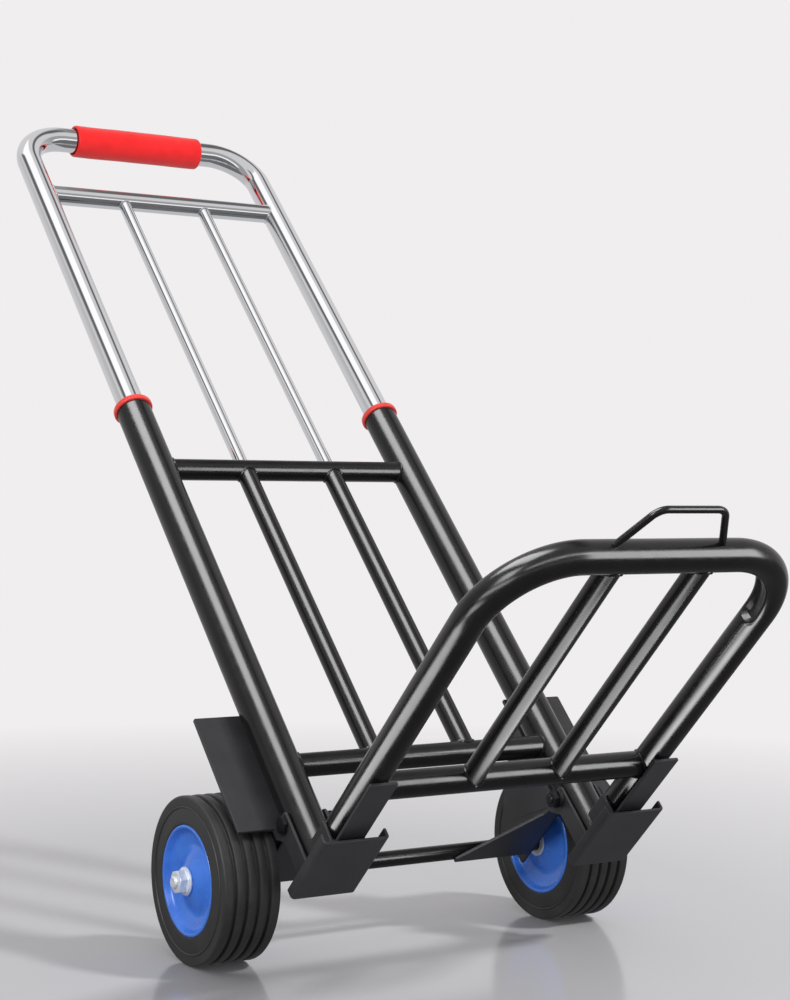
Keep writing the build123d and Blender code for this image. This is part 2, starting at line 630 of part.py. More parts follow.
def pivot_bolt():
    """Left pivot bolt, its head on the outer side."""
    head = EAR_OUT + EAR_SHEET + SIDE_GAP
    tip = PIVOT_STACK - PIVOT_WASHER_THICK - PIVOT_NUT_HEIGHT - PIVOT_THREAD_END
    shank = rod_x(-head, -tip, FRAME_Y, PIVOT_LEVEL, PIVOT_RADIUS)
    return shank + hexagon_x(-head - PIVOT_HEAD_HEIGHT, -head, FRAME_Y, PIVOT_LEVEL, PIVOT_HEAD_ACROSS)


def pivot_washer():
    """Left washer between the friction rings and the pivot's nut."""
    x = -PIVOT_STACK
    ring = rod_x(x, x + PIVOT_WASHER_THICK, FRAME_Y, PIVOT_LEVEL, PIVOT_WASHER_RADIUS)
    return ring - rod_x(x - CUT, x + PIVOT_WASHER_THICK + CUT, FRAME_Y, PIVOT_LEVEL, PIVOT_RADIUS)


def pivot_rings():
    """Left friction rings between the inner upright and the washer."""
    solids = []
    for i in range(2):
        x = -EAR_IN + EAR_SHEET + SIDE_GAP + i * RING_THICK
        ring = rod_x(x, x + RING_THICK, FRAME_Y, PIVOT_LEVEL, RING_RADIUS)
        ring = fillet(ring.edges().filter_by(GeomType.CIRCLE), RING_ROUND)
        ring -= rod_x(x - CUT, x + RING_THICK + CUT, FRAME_Y, PIVOT_LEVEL, PIVOT_RADIUS)
        solids.extend(ring.solids())
    return Compound(children=solids)


def pivot_nut():
    """Left nut on the pivot bolt."""
    x = -PIVOT_STACK + PIVOT_WASHER_THICK
    nut = hexagon_x(x, x + PIVOT_NUT_HEIGHT, FRAME_Y, PIVOT_LEVEL, PIVOT_NUT_ACROSS)
    return nut - rod_x(x - CUT, x + PIVOT_NUT_HEIGHT + CUT, FRAME_Y, PIVOT_LEVEL, PIVOT_RADIUS)


def build():
    """All nodes by name, upright about the axle."""
    nodes = {}
    nodes["frame_tube_left"] = frame_tube()
    nodes["frame_tube_right"] = mirrored(frame_tube())
    nodes["upper_crossbar"] = upper_crossbar()
    nodes["lower_crossbar"] = frame_crossbar(LOWER_CROSSBAR)
    nodes["rod_sleeve_left"] = rod_sleeve()
    nodes["rod_sleeve_right"] = mirrored(rod_sleeve())
    nodes["rod_guides"] = pair(rod_guide())
    nodes["collar_left"] = collar()
    nodes["collar_right"] = mirrored(collar())
    nodes["end_plugs"] = pair(end_plug())
    nodes["wheel_bracket_left"] = wheel_bracket()
    nodes["wheel_bracket_right"] = mirrored(wheel_bracket())
    nodes["axle_tube"] = axle_tube()
    nodes["axle_rod"] = axle_rod()
    nodes["axle_washers"] = axle_washers()
    nodes["axle_nuts"] = axle_nuts()
    nodes["pivot_bolts"] = pair(pivot_bolt())
    nodes["pivot_washers"] = pair(pivot_washer())
    nodes["pivot_rings"] = pair(pivot_rings())
    nodes["pivot_nuts"] = pair(pivot_nut())
    for name, x in (("left", -WHEEL_X), ("right", WHEEL_X)):
        outward = -1 if x < 0 else 1
        nodes["tyre_" + name] = tyre(x)
        nodes["rim_outer_" + name] = rim_half(x, outward)
        nodes["rim_inner_" + name] = rim_half(x, -outward)
        nodes["hub_sleeve_" + name] = hub_sleeve(x)
    nodes["handle_tube"] = handle_tube()
    nodes["handle_crossbar"] = handle_crossbar()
    nodes["handle_rod_left"] = handle_rod()
    nodes["handle_rod_right"] = mirrored(handle_rod())
    nodes["rod_stops"] = pair(rod_stop())
    nodes["slide_bushes"] = pair(slide_bush())
    nodes["grip"] = grip()
    nodes["platform_tube"] = platform_tube()
    nodes["platform_crossbar"] = platform_crossbar()
    nodes["platform_rod_left"] = platform_rod()
    nodes["platform_rod_right"] = mirrored(platform_rod())
    nodes["platform_plugs"] = pair(platform_plug())
    nodes["carry_loop"] = carry_loop()
    nodes["shoe_left"] = shoe()
    nodes["shoe_right"] = mirrored(shoe())
    nodes["hinge_ears_left"] = ears(-1)
    nodes["hinge_ears_right"] = ears(1)
    nodes["strap_left"] = strap()
    nodes["strap_right"] = mirrored(strap())
    nodes["cheeks_left"] = cheeks(-1)
    nodes["cheeks_right"] = cheeks(1)
    return nodes


def leaned(shape, shift):
    """Lean a piece back about the axle and stand the wheels on the floor."""
    return Pos(0, shift, WHEEL_RADIUS) * Rot(-LEAN, 0, 0) * shape


def middle_shift():
    """Shift that puts the middle of the leaned truck's depth at y = 0."""
    lean = radians(LEAN)
    back = FRAME_Y * cos(lean) + HANDLE_TOP * sin(lean) + max(GRIP_RADIUS, HANDLE_TUBE_RADIUS)
    front = -(PLATFORM_FRONT + LOOP_REACH) * cos(lean) + PLATFORM_LEVEL * sin(lean) - LOOP_WIRE_RADIUS
    return -(back + front) / 2


os.makedirs("parts", exist_ok=True)
shift = middle_shift()
for name, shape in build().items():
    export_step(leaned(shape, shift), os.path.join("parts", name + ".step"))
print("handle stroke %.2f" % STROKE)
print("depth shift %.3f" % shift)
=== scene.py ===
"""Looks of the folding hand truck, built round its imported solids.

Shapes are worked out upright, in millimetres: x across, y to the back, z along the frame, with the
axle's middle at the origin. lean() turns them about the axle and sets them in the frame, in metres.
A shape is a pair: an array of points and a list of faces.
"""

import json
from math import cos, pi, radians, sin, tan

import bmesh
import bpy
import numpy as np
from mathutils import Matrix, Vector


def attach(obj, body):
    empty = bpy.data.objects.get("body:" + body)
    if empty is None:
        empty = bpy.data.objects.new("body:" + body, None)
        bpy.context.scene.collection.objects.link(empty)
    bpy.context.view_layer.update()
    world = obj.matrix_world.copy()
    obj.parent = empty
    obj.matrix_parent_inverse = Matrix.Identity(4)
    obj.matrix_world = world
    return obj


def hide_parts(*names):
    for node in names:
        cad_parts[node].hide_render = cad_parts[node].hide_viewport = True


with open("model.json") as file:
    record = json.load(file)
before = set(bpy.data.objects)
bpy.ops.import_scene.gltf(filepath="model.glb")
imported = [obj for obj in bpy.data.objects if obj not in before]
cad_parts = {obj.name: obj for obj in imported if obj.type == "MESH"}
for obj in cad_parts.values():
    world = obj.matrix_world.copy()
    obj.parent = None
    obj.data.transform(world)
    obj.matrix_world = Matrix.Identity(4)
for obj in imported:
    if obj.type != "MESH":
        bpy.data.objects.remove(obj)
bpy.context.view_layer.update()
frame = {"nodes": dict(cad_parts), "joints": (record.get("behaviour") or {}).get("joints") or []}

# Photograph's camera, in millimetres, degrees and pixels
PHOTO_HEIGHT = 1000
FOCAL_PIXELS = 1967.148
CAMERA_PLACE = (-886.854, -1505.018, 391.047)
CAMERA_AZIMUTH = -31.947
CAMERA_DOWN = 0.659
CAMERA_ROLL = 0.617
SENSOR_SIDE = 36.0

# Details that the solids' boxes don't give, in millimetres: first the tubes and their welds
TUBE_WALL = 1.5
TUBE_EDGE = 0.5
WELD = 1.3
WELD_RIPPLE = 1.9
WELD_WAVE = 0.03
CHROME_WELD = 0.9
HANDLE_BEND = 48.0
PLATFORM_BEND = 65.0
COLLAR_LIP = 5.5
COLLAR_PLAY = 0.1
LOOP_HALF_BASE = 48.5
LOOP_HALF_TOP = 29.5
LOOP_BEND = 13.0
LOOP_SINK = 1.0

# Groove that the bending die leaves: its depth, half its width, its reach past the bend and its run-out
PRESS_DEPTH = 5.0
PRESS_HALF = radians(52.0)
PRESS_OVER = radians(6.0)
PRESS_END = radians(5.0)

# Foam grip: round of its ends, slow swell, finer dents, how far it sits in, and the firm foam at the tube
GRIP_ROUND = 2.4
GRIP_SWELL = 0.1
GRIP_SWELL_LENGTH = 53.0
GRIP_DENT = 0.12
GRIP_DENT_LENGTH = 17.0
GRIP_SINK = 0.4
GRIP_FIRM = 2.0

# Flare of its bore: points in from the end and out from the tube
GRIP_FLARE = ((7.0, 0.1), (2.0, 1.2), (0.4, 1.7))

# Sheets
SHEET_EDGE = 0.7
EDGE_STEPS = 4
BRACKET_SHEET = 3.0
BRACKET_INNER = 122.0
GUARD_CORNER = 1.5
GUSSET_EDGE = 137.0
GUSSET_ROOT = 8.0
GUSSET_WAIST = 17.0
GUSSET_NECK = 18.4
GUSSET_LIP = 2.0
GUSSET_CORNER = 1.0
WEB_STEP = 34.0
WEB_SINK = 1.0
SHOE_SHEET = 2.5
SHOE_BEND = 3.4
SHOE_INNER_BEND = 1.0
EAR_SHEET = 2.5
EAR_WIDTH = 18.5
EAR_HEAD = 8.0
EAR_NECK = 0.6 * EAR_HEAD
EAR_CROWN = 0.4 * EAR_HEAD
EAR_WAIST = 20.0
HEEL_HEIGHT = 8.0
HEEL_GAP = 0.3
CHEEK_SHEET = 2.5
STRAP_SHEET = 3.0
STRAP_BEND = 4.0
STRAP_STEP = 12.0
STRAP_STEP_BEHIND = 8.0
LIP_CORNER = 0.9
FOOT_CORNER = 0.8

# Wheels
RIM_RADIUS = 44.5
RIM_SEAT = 40.5
RIM_LIP = 4.0
RIM_SHEET = 2.2
LIP_WIDTH = 2.6
LIP_SINK = 0.1
DISH_WALL_IN = 5.5
DISH_WALL_DEPTH = 6.2
DISH_IN = 17.0
DISH_DEPTH = 9.4
DISH_BACK_IN = 0.6
DISH_BACK_RISE = 2.0
HUB_RADIUS = 8.0
HUB_SINK = 0.6
HUB_LENGTH = 6.0
BOSS_FLARE = 2.0
BOSS_DROP = 1.0
BOSS_INSET = 0.4
SHOULDER = 1.8
SHOULDER_SINK = 0.5
GROOVES = 4
GROOVE_PITCH = 10.0
GROOVE_WIDTH = 3.8
GROOVE_WALL = GROOVE_WIDTH / 5
GROOVE_DEPTH = 2.5
RIB_CROWN = 1.2

# Tyre's side: points out from the rim, then out from the middle of a raised ring, with their depth
SIDEWALL_FOOT = ((0.0, 0.9), (0.5, 0.45), (1.4, 0.3), (3.0, 0.3))
SIDEWALL_RING = 58.4
RING_BEFORE = ((-4.0, 0.5), (-0.9, 0.75), (-0.6, 0.2), (-0.3, 0.0))
RING_AFTER = ((0.3, 0.0), (0.6, 0.2), (0.9, 0.75), (2.4, 0.6))

# Fasteners
NUT_ACROSS = 17.0
FLANGE_RADIUS = 0.62 * NUT_ACROSS
FLANGE_EDGE = 0.8
FLANGE_HEIGHT = 2.2
AXLE_WASHER = 1.6
AXLE_WALL = 1.0
AXLE_THREAD_SINK = 2.0
PIVOT_ACROSS = 13.0
PIVOT_RADIUS = 4.0
HEAD_GAP = 0.3
SHANK_SINK = 1.0
SHANK_REACH = 2.0
HEX_LEVELS = np.array([0.0, 0.25, 0.5, 0.75, 1.0, 1.4])
HEX_FACE = 0.95
HEX_CONE = 1.73
THREAD_PITCH = 1.5
THREAD_DEPTH = 0.7
THREAD_ROWS = 8
THREAD_BEVEL = 1.2 * THREAD_DEPTH

# Gap that keeps surfaces apart where one piece fills another
HAIR = 0.05

MM = 0.001
SIDES = (("left", -1.0), ("right", 1.0))
ACROSS = np.array([1.0, 0.0, 0.0])
BACK = np.array([0.0, 1.0, 0.0])
UP = np.array([0.0, 0.0, 1.0])

# What the lamps light: all but the chrome, that without the floor, that without the wheel brackets, the
# glossy black tubes, the load hairpin and the load rods
lit = bpy.data.collections.new("lit")
pieces_lit = bpy.data.collections.new("pieces_lit")
front_lit = bpy.data.collections.new("front_lit")
glossed = bpy.data.collections.new("glossed")
hairpin_lit = bpy.data.collections.new("hairpin_lit")
rods_lit = bpy.data.collections.new("rods_lit")
UNCHROMED = (lit, pieces_lit, front_lit)

# Where the upright drawing sits in the frame: the axle's middle and the way the handle slides
joints = {joint["name"]: joint for joint in frame["joints"]}
AXLE = np.array(joints["wheel_left_spin"]["pos_m"]) * (0.0, 1.0, 1.0)
SLIDE = np.array(joints["handle_slide"]["axis"], float)
BASIS = np.array([ACROSS, np.cross(SLIDE, ACROSS), SLIDE])


def lean(points):
    """Upright millimetres to the frame's metres: the axle plus x, y and z along the leaned axes."""
    return AXLE + np.asarray(points, float) @ BASIS * MM


def upright(node, left_half=False):
    """Lowest and highest corner of a solid, or of its left half alone, upright and in millimetres."""
    mesh = frame["nodes"][node].data
    flat = np.empty(len(mesh.vertices) * 3, np.float32)
    mesh.vertices.foreach_get("co", flat)
    points = (flat.reshape(-1, 3) - AXLE) @ BASIS.T / MM
    if left_half:
        points = points[points[:, 0] < 0]
    return points.min(0), points.max(0)


def middle(node):
    """Middle of a solid's box, upright."""
    low, high = upright(node)
    return (low + high) / 2


def radius_of(node, axis):
    """Half of a round solid's box along one axis."""
    low, high = upright(node)
    return (high[axis] - low[axis]) / 2


# Sizes read from the solids
TUBE_X = -middle("frame_tube_left")[0]
FRAME_Y = middle("frame_tube_left")[1]
TUBE_RADIUS = radius_of("frame_tube_left", 0)
PIVOT = (np.array(joints["platform_fold"]["pos_m"]) - AXLE) @ BASIS.T / MM
WHEEL_X = -middle("tyre_left")[0]
WHEEL_RADIUS = radius_of("tyre_left", 1)
TYRE_HALF = radius_of("tyre_left", 0)
SHOE_FLOOR = upright("shoe_left")[0][2] + SHOE_SHEET


# Surfaces


def quads(rows, columns, wrap_rows, wrap_columns):
    """Corner numbers of a grid's cells; a wrapped side joins its last line to its first."""
    row = np.arange(rows if wrap_rows else rows - 1)[:, None]
    column = np.arange(columns if wrap_columns else columns - 1)[None, :]
    next_row = (row + 1) % rows
    next_column = (column + 1) % columns
    corners = (
        row * columns + column,
        row * columns + next_column,
        next_row * columns + next_column,
        next_row * columns + column,
    )
    return np.stack(np.broadcast_arrays(*corners), -1).reshape(-1, 4).tolist()


def turn(count):
    """Angles of one whole turn, their cosines and their sines."""
    angle = np.linspace(0.0, 2 * pi, count, endpoint=False)
    return angle, np.cos(angle), np.sin(angle)


def joined(shapes):
    """Several shapes as one: their points in a row, their faces counted on."""
    points = []
    faces = []
    start = 0
    for shape_points, shape_faces in shapes:
        points.append(shape_points)
        faces.extend([[corner + start for corner in face] for face in shape_faces])
        start += len(shape_points)
    return np.concatenate(points), faces


def sided(shape, side):
    """A shape drawn on the left, kept there or mirrored to the right."""
    points, faces = shape
    if side < 0:
        return shape
    return points * (-1.0, 1.0, 1.0), faces


def rounded(corners, steps=6):
    """Closed flat outline from corners of two coordinates and a radius, each turned into an arc.

    An arc leaves the corner's sides where the tangent length radius * tan(turn / 2) is used up, at most
    0.48 of the shorter side, and its points run evenly from one side's direction to the next.
    """
    given = np.asarray(corners, float)
    corner = given[:, :2]
    before = corner - np.roll(corner, 1, 0)
    after = np.roll(before, -1, 0)
    length_in = np.linalg.norm(before, axis=1)
    length_out = np.linalg.norm(after, axis=1)
    way_in = before / length_in[:, None]
    way_out = after / length_out[:, None]
    cross = way_in[:, 0] * way_out[:, 1] - way_in[:, 1] * way_out[:, 0]
    bend = np.arctan2(cross, (way_in * way_out).sum(1))
    half = np.tan(np.abs(bend) / 2)
    tangent = np.minimum(given[:, 2] * half, 0.48 * np.minimum(length_in, length_out))
    used = tangent / half
    inward = np.stack([-way_in[:, 1], way_in[:, 0]], 1) * np.sign(bend)[:, None]
    start = corner - way_in * tangent[:, None]
    angle = np.abs(bend)[:, None] * np.linspace(0.0, 1.0, steps)[None, :]
    along = way_in[:, None, :] * np.sin(angle)[..., None]
    aside = inward[:, None, :] * (1 - np.cos(angle))[..., None]
    return (start[:, None, :] + used[:, None, None] * (along + aside)).reshape(-1, 2)


def rectangle(left, right, foot, head, corner):
    """Rectangle's outline, its four corners rounded alike."""
    return rounded([(left, foot, corner), (right, foot, corner), (right, head, corner), (left, head, corner)])


def hoop(half_foot, half_head, foot, head):
    """Corners of a hairpin, its halves across and the y and z of its feet and of its head."""
    return [(-half_foot, *foot), (-half_head, *head), (half_head, *head), (half_foot, *foot)]


def straight(start, end):
    """Straight path as points and tangents."""
    start = np.asarray(start, float)
    end = np.asarray(end, float)
    way = (end - start) / np.linalg.norm(end - start)
    return np.array([start, start + (end - start) / 2, end]), np.array([way, way, way])


def bent(corners, radius, steps=28, lead=0.0):
    """Flat path with rounded corners: its points and unit tangents.

    An arc turns about its centre from one run's direction to the next, so its point is
    centre - inward * radius * cos(t) + run * radius * sin(t). The lead, an angle, adds points on the
    straights beside each arc.
    """
    corner = np.asarray(corners, float)
    points = [corner[:1]]
    first = corner[1] - corner[0]
    tangents = [first[None, :] / np.linalg.norm(first)]
    for before, here, after in zip(corner[:-2], corner[1:-1], corner[2:]):
        run = (here - before) / np.linalg.norm(here - before)
        leave = (after - here) / np.linalg.norm(after - here)
        bend = np.arccos(np.clip(run @ leave, -1.0, 1.0))
        inward = (leave - run * cos(bend)) / sin(bend)
        start = here - run * radius * tan(bend / 2)
        t = np.linspace(-lead, bend + lead, steps)[:, None]
        held = np.clip(t, 0.0, bend)
        tangent = run * np.cos(held) + inward * np.sin(held)
        arc = start + inward * radius * (1 - np.cos(held)) + run * radius * np.sin(held)
        points.append(arc + tangent * (t - held) * radius)
        tangents.append(tangent)
    points.append(corner[-1:])
    last = corner[-1] - corner[-2]
    tangents.append(last[None, :] / np.linalg.norm(last))
    return np.concatenate(points), np.concatenate(tangents)


def circled(centre, way, square, size, around):
    """Circles set square to a path: a point is centre + size * (cos a * aside + sin a * square)."""
    aside = np.cross(square, way)
    c, s = turn(around)[1:]
    rim = c[None, :, None] * aside[:, None, :] + s[None, :, None] * np.asarray(square)[None, None, :]
    grid = centre[:, None, :] + size[:, None, None] * rim
    return grid.reshape(-1, 3)


def pipe(path, square, radius, bore, edge=TUBE_EDGE, around=80):
    """Hollow tube: a circle carried out along a flat path at the outer radius and back at the bore.

    square is the way square to the path's plane. The outer edges of both ends are rounded: the circle
    grows by edge * sin(t) while it moves by edge * (1 - cos(t)).
    """
    points, tangents = path
    count = len(points)
    t = np.linspace(0.0, pi / 2, EDGE_STEPS)
    push = edge * (1 - np.cos(t))
    width = radius - edge * (1 - np.sin(t))
    inside = np.arange(1, count - 1)
    last = [count - 1] * (EDGE_STEPS + 1)
    index = np.concatenate([[0] * EDGE_STEPS, inside, last, inside[::-1], [0]])
    still = np.zeros(count - 2)
    shift = np.concatenate([push, still, -push[::-1], [0.0], still, [0.0]])
    size = np.concatenate([width, still + radius, width[::-1], [bore], still + bore, [bore]])
    way = tangents[index]
    centre = points[index] + way * shift[:, None]
    return circled(centre, way, square, size, around), quads(len(index), around, True, True)


def pressed(shape, side, centre, bend):
    """Bent tube with the groove that the bending die leaves inside one of its bends.

    A point's place along the bend is its angle about the bend's centre, counted on along the straights,
    and its place round the tube is the angle from the innermost line. The wall moves towards the tube's
    middle by PRESS_DEPTH times the squared cosine of that angle, scaled to vanish at PRESS_HALF and at
    the groove's ends.
    """
    points, faces = shape
    points = points.copy()
    out = side * (points[:, 0] - centre[0])
    ahead = centre[1] - points[:, 1]
    out_part = np.maximum(out, 0.0)
    ahead_part = np.maximum(ahead, 0.0)
    reach = np.hypot(out_part, ahead_part)
    along = np.arctan2(out_part, ahead_part) + (np.minimum(out, 0.0) - np.minimum(ahead, 0.0)) / bend
    round_tube = np.arctan2(points[:, 2] - centre[2], bend - reach)
    share = np.clip((pi / 4 + PRESS_OVER - np.abs(along - pi / 4)) / PRESS_END, 0.0, 1.0)
    depth = PRESS_DEPTH * np.cos(np.clip(round_tube / PRESS_HALF, -1.0, 1.0) * pi / 2) ** 2
    push = depth * share * share * (3 - 2 * share) / np.maximum(reach, 1.0)
    points[:, 0] += side * push * out_part
    points[:, 1] -= push * ahead_part
    return points, faces


def wire(path, square, radius, around=24):
    """Solid round wire along a flat path: a circle carried along it, closed by a point at both ends."""
    points, tangents = path
    index = np.concatenate([[0], np.arange(len(points)), [len(points) - 1]])
    size = np.full(len(index), radius)
    size[[0, -1]] = 0.0
    grid = circled(points[index], tangents[index], square, size, around)
    return grid, quads(len(index), around, False, True)


def saddle(angle, radius, mate, drop):
    """How far along a bar its wall meets a mating tube: sqrt(mate^2 - (drop + radius * cos a)^2)."""
    return np.sqrt(np.maximum(mate**2 - (drop + radius * np.cos(angle)) ** 2, 0.0))


def coped(start, end, aside, radius, mates, drop, around=80):
    """Hollow bar whose ends are cut to the round of the tubes they meet.

    start and end lie on the mating tubes' axes and aside is square to bar and mating tube. At angle a
    the wall runs from saddle(a) after the start to saddle(a) before the end. A mate of 0 cuts the end flat.
    """
    way = end - start
    length = np.linalg.norm(way)
    way = way / length
    other = np.cross(way, aside)
    angle, c, s = turn(around)
    rim = c[:, None] * aside + s[:, None] * other
    bore = radius - TUBE_WALL
    rows = []
    for size, back in ((radius, False), (radius, True), (bore, True), (bore, False)):
        place = saddle(angle, size, mates[0], drop)
        if back:
            place = length - saddle(angle, size, mates[1], drop)
        rows.append(start + aside * drop + place[:, None] * way + size * rim)
    return np.concatenate(rows), quads(4, around, True, True)


def bead(start, toward, aside, radius, mate, size, drop, along=150, around=9):
    """Weld run round a coped end: a small circle carried round the saddle curve, rippled as a weld is.

    The circle's radius is size * (1 + WELD_WAVE * sin(k a)), with k ripples of WELD_RIPPLE millimetres.
    """
    way = toward - start
    way = way / np.linalg.norm(way)
    other = np.cross(way, aside)
    angle, c, s = turn(along)
    rim = c[:, None] * aside + s[:, None] * other
    place = saddle(angle, radius, mate, drop)
    curve = start + aside * drop + place[:, None] * way + radius * rim
    run = np.roll(curve, -1, 0) - np.roll(curve, 1, 0)
    run /= np.linalg.norm(run, axis=1)[:, None]
    out = rim + way
    out -= run * (out * run).sum(1)[:, None]
    out /= np.linalg.norm(out, axis=1)[:, None]
    third = np.cross(run, out)
    ripples = round(2 * pi * radius / WELD_RIPPLE)
    thick = size * (1 + WELD_WAVE * np.sin(ripples * angle))
    c, s = turn(around)[1:]
    ring = c[None, :, None] * out[:, None, :] + s[None, :, None] * third[:, None, :]
    grid = curve[:, None, :] + thick[:, None, None] * ring
    return grid.reshape(-1, 3), quads(along, around, True, True)


def welded(start, end, aside, radius, mates, size=WELD, drop=0.0):
    """Coped bar, and the weld runs round those of its ends that meet a tube."""
    ends = ((start, end, mates[0]), (end, start, mates[1]))
    runs = [bead(here, there, aside, radius, mate, size, drop) for here, there, mate in ends if mate]
    return coped(start, end, aside, radius, mates, drop), runs


def turned(profile, centre, axis, around=96):
    """Closed solid of revolution: (radius, along) points of a closed outline turned about an axis."""
    first = UP if abs(axis[2]) < 0.5 else ACROSS
    second = np.cross(axis, first)
    c, s = turn(around)[1:]
    rim = c[:, None] * first + s[:, None] * second
    grid = np.asarray(centre, float) + profile[:, None, :1] * rim[None, :, :] + profile[:, None, 1:] * axis
    return grid.reshape(-1, 3), quads(len(profile), around, True, True)


def spun(x, size, y, z, closed):
    """Surface about a line along x: at row i and angle a it lies at x[i] and the radius size[i, a]."""
    rows, around = size.shape
    c, s = turn(around)[1:]
    grid = np.stack([np.broadcast_to(x[:, None], size.shape), y + size * c, z + size * s], -1)
    return grid.reshape(-1, 3), quads(rows, around, closed, True)


def six_sided(x0, x1, y, z, across, bore=0.0, around=96):
    """Hexagonal head or nut along x: the radius is the lesser of the hexagon's and a cone's at both faces.

    The hexagon's radius is (across / 2) / cos(a - 60 n). The cone starts at HEX_FACE of half the width
    and opens by HEX_CONE for each millimetre from the face.
    """
    angle = turn(around)[0]
    flat = across / 2 / np.cos((angle + pi / 6) % (pi / 3) - pi / 6)
    height = x1 - x0
    place = np.concatenate([HEX_LEVELS, height - HEX_LEVELS[::-1]])
    cone = across / 2 * HEX_FACE + HEX_CONE * np.minimum(place, height - place)
    size = np.minimum(flat[None, :], cone[:, None])
    hole = np.full((1, around), bore)
    place = np.concatenate([[0.0], place, [height]])
    return spun(x0 + place, np.concatenate([hole, size, hole]), y, z, bore > 0)


def threaded(x0, x1, y, z, radius, around=40):
    """Screw thread along x with a bevelled end: the radius falls and rises once a pitch along a helix."""
    length = abs(x1 - x0)
    place = np.linspace(0.0, length, int(length / THREAD_PITCH * THREAD_ROWS))
    angle = turn(around)[0]
    wave = np.abs(2 * ((place[:, None] / THREAD_PITCH - angle[None, :] / (2 * pi)) % 1.0) - 1)
    bevel = radius - THREAD_BEVEL + (length - place)
    size = np.minimum(radius - THREAD_DEPTH * wave, bevel[:, None])
    size = np.concatenate([size * (place > 0)[:, None], np.zeros((1, around))])
    return spun(x0 + np.sign(x1 - x0) * np.append(place, length), size, y, z, False)


def slab(outline, low, high, axes, edge=SHEET_EDGE):
    """Sheet of one outline between two levels, its edges rounded.

    The outline is drawn in by edge * (1 - sin t) while the level climbs by edge * (1 - cos t), which makes
    a quarter round at each face. axes says which of x, y and z the outline's two ways and the level are.
    """
    run = np.roll(outline, -1, 0) - outline
    run /= np.linalg.norm(run, axis=1)[:, None]
    normal = np.stack([run[:, 1], -run[:, 0]], 1)
    area = np.sum(outline[:, 0] * np.roll(outline[:, 1], -1) - outline[:, 1] * np.roll(outline[:, 0], -1))
    normal *= np.sign(area)
    before = np.roll(normal, 1, 0)
    out = (normal + before) / (1 + (normal * before).sum(1))[:, None]
    t = np.linspace(0.0, pi / 2, EDGE_STEPS)
    inset = edge * (1 - np.sin(t))
    climb = edge * (1 - np.cos(t))
    inset = np.concatenate([inset, inset[::-1]])
    level = np.concatenate([low + climb, high - climb[::-1]])
    flat = outline[None, :, :] - inset[:, None, None] * out[None, :, :]
    rows, count = flat.shape[:2]
    grid = np.empty((rows, count, 3))
    grid[..., axes[0]] = flat[..., 0]
    grid[..., axes[1]] = flat[..., 1]
    grid[..., axes[2]] = level[:, None]
    faces = quads(rows, count, False, True)
    faces.append(list(range(count)))
    faces.append(list(range((rows - 1) * count, rows * count)))
    return grid.reshape(-1, 3), faces


# Materials


def linear(code):
    """sRGB hex to linear colour with alpha."""
    value = np.array([int(code[i : i + 2], 16) for i in (0, 2, 4)]) / 255
    value = np.where(value <= 0.04045, value / 12.92, ((value + 0.055) / 1.055) ** 2.4)
    return (*value.tolist(), 1.0)


def per(size):
    """Pattern scale whose features are this many millimetres wide."""
    return 1 / (size * MM)


def between(start, stop):
    """Limits that a value is read between, as inputs."""
    return {"From Min": start, "From Max": stop}


# Most of a noise pattern's values lie in this range
NOISE_RANGE = between(0.3, 0.7)


def add(tree, kind, inputs=None, **settings):
    """Add a node with its settings; an input is linked if it is a node or a socket, and set otherwise."""
    node = tree.nodes.new(kind)
    for name, value in settings.items():
        setattr(node, name, value)
    for name, value in (inputs or {}).items():
        if isinstance(value, bpy.types.Node):
            value = next(socket for socket in value.outputs if socket.enabled)
        if isinstance(value, bpy.types.NodeSocket):
            tree.links.new(value, node.inputs[name])
        else:
            node.inputs[name].default_value = value
    return node


def blank(name):
    """New material with an empty tree; also the place that its patterns read."""
    made = bpy.data.materials.new(name)
    made.use_nodes = True
    made.node_tree.nodes.clear()
    place = add(made.node_tree, "ShaderNodeTexCoord").outputs["Object"]
    return made, made.node_tree, place


def clouded(tree, place, size, detail, first, second, rough=0.5):
    """Soft clouds with features of a size in millimetres, and a colour that drifts with them."""
    inputs = {"Vector": place, "Scale": per(size), "Detail": detail, "Roughness": rough}
    cloud = add(tree, "ShaderNodeTexNoise", inputs)
    share = add(tree, "ShaderNodeMapRange", {"Value": cloud, **NOISE_RANGE})
    inputs = {"Factor": share, "A": linear(first), "B": linear(second)}
    return cloud, add(tree, "ShaderNodeMix", inputs, data_type="RGBA")


def coated(made, inputs):
    """Close a material with a shader that takes these inputs."""
    shader = add(made.node_tree, "ShaderNodeBsdfPrincipled", inputs)
    add(made.node_tree, "ShaderNodeOutputMaterial", {"Surface": shader})
    return made


def powder_coat():
    """Black polyester powder baked on steel tube: deep black and glossy, highlights softened unevenly."""
    made, tree, place = blank("black_powder_coat")
    colour = clouded(tree, place, 45.0, 3.0, "0F0F10", "151516")[1]
    patch = add(tree, "ShaderNodeTexNoise", {"Vector": place, "Scale": per(12.0), "Detail": 4.0})
    rough = add(tree, "ShaderNodeMapRange", {"Value": patch, **NOISE_RANGE, "To Min": 0.2, "To Max": 0.26})
    return coated(made, {"Base Color": colour, "Roughness": rough, "IOR": 1.5, "Specular IOR Level": 0.34})


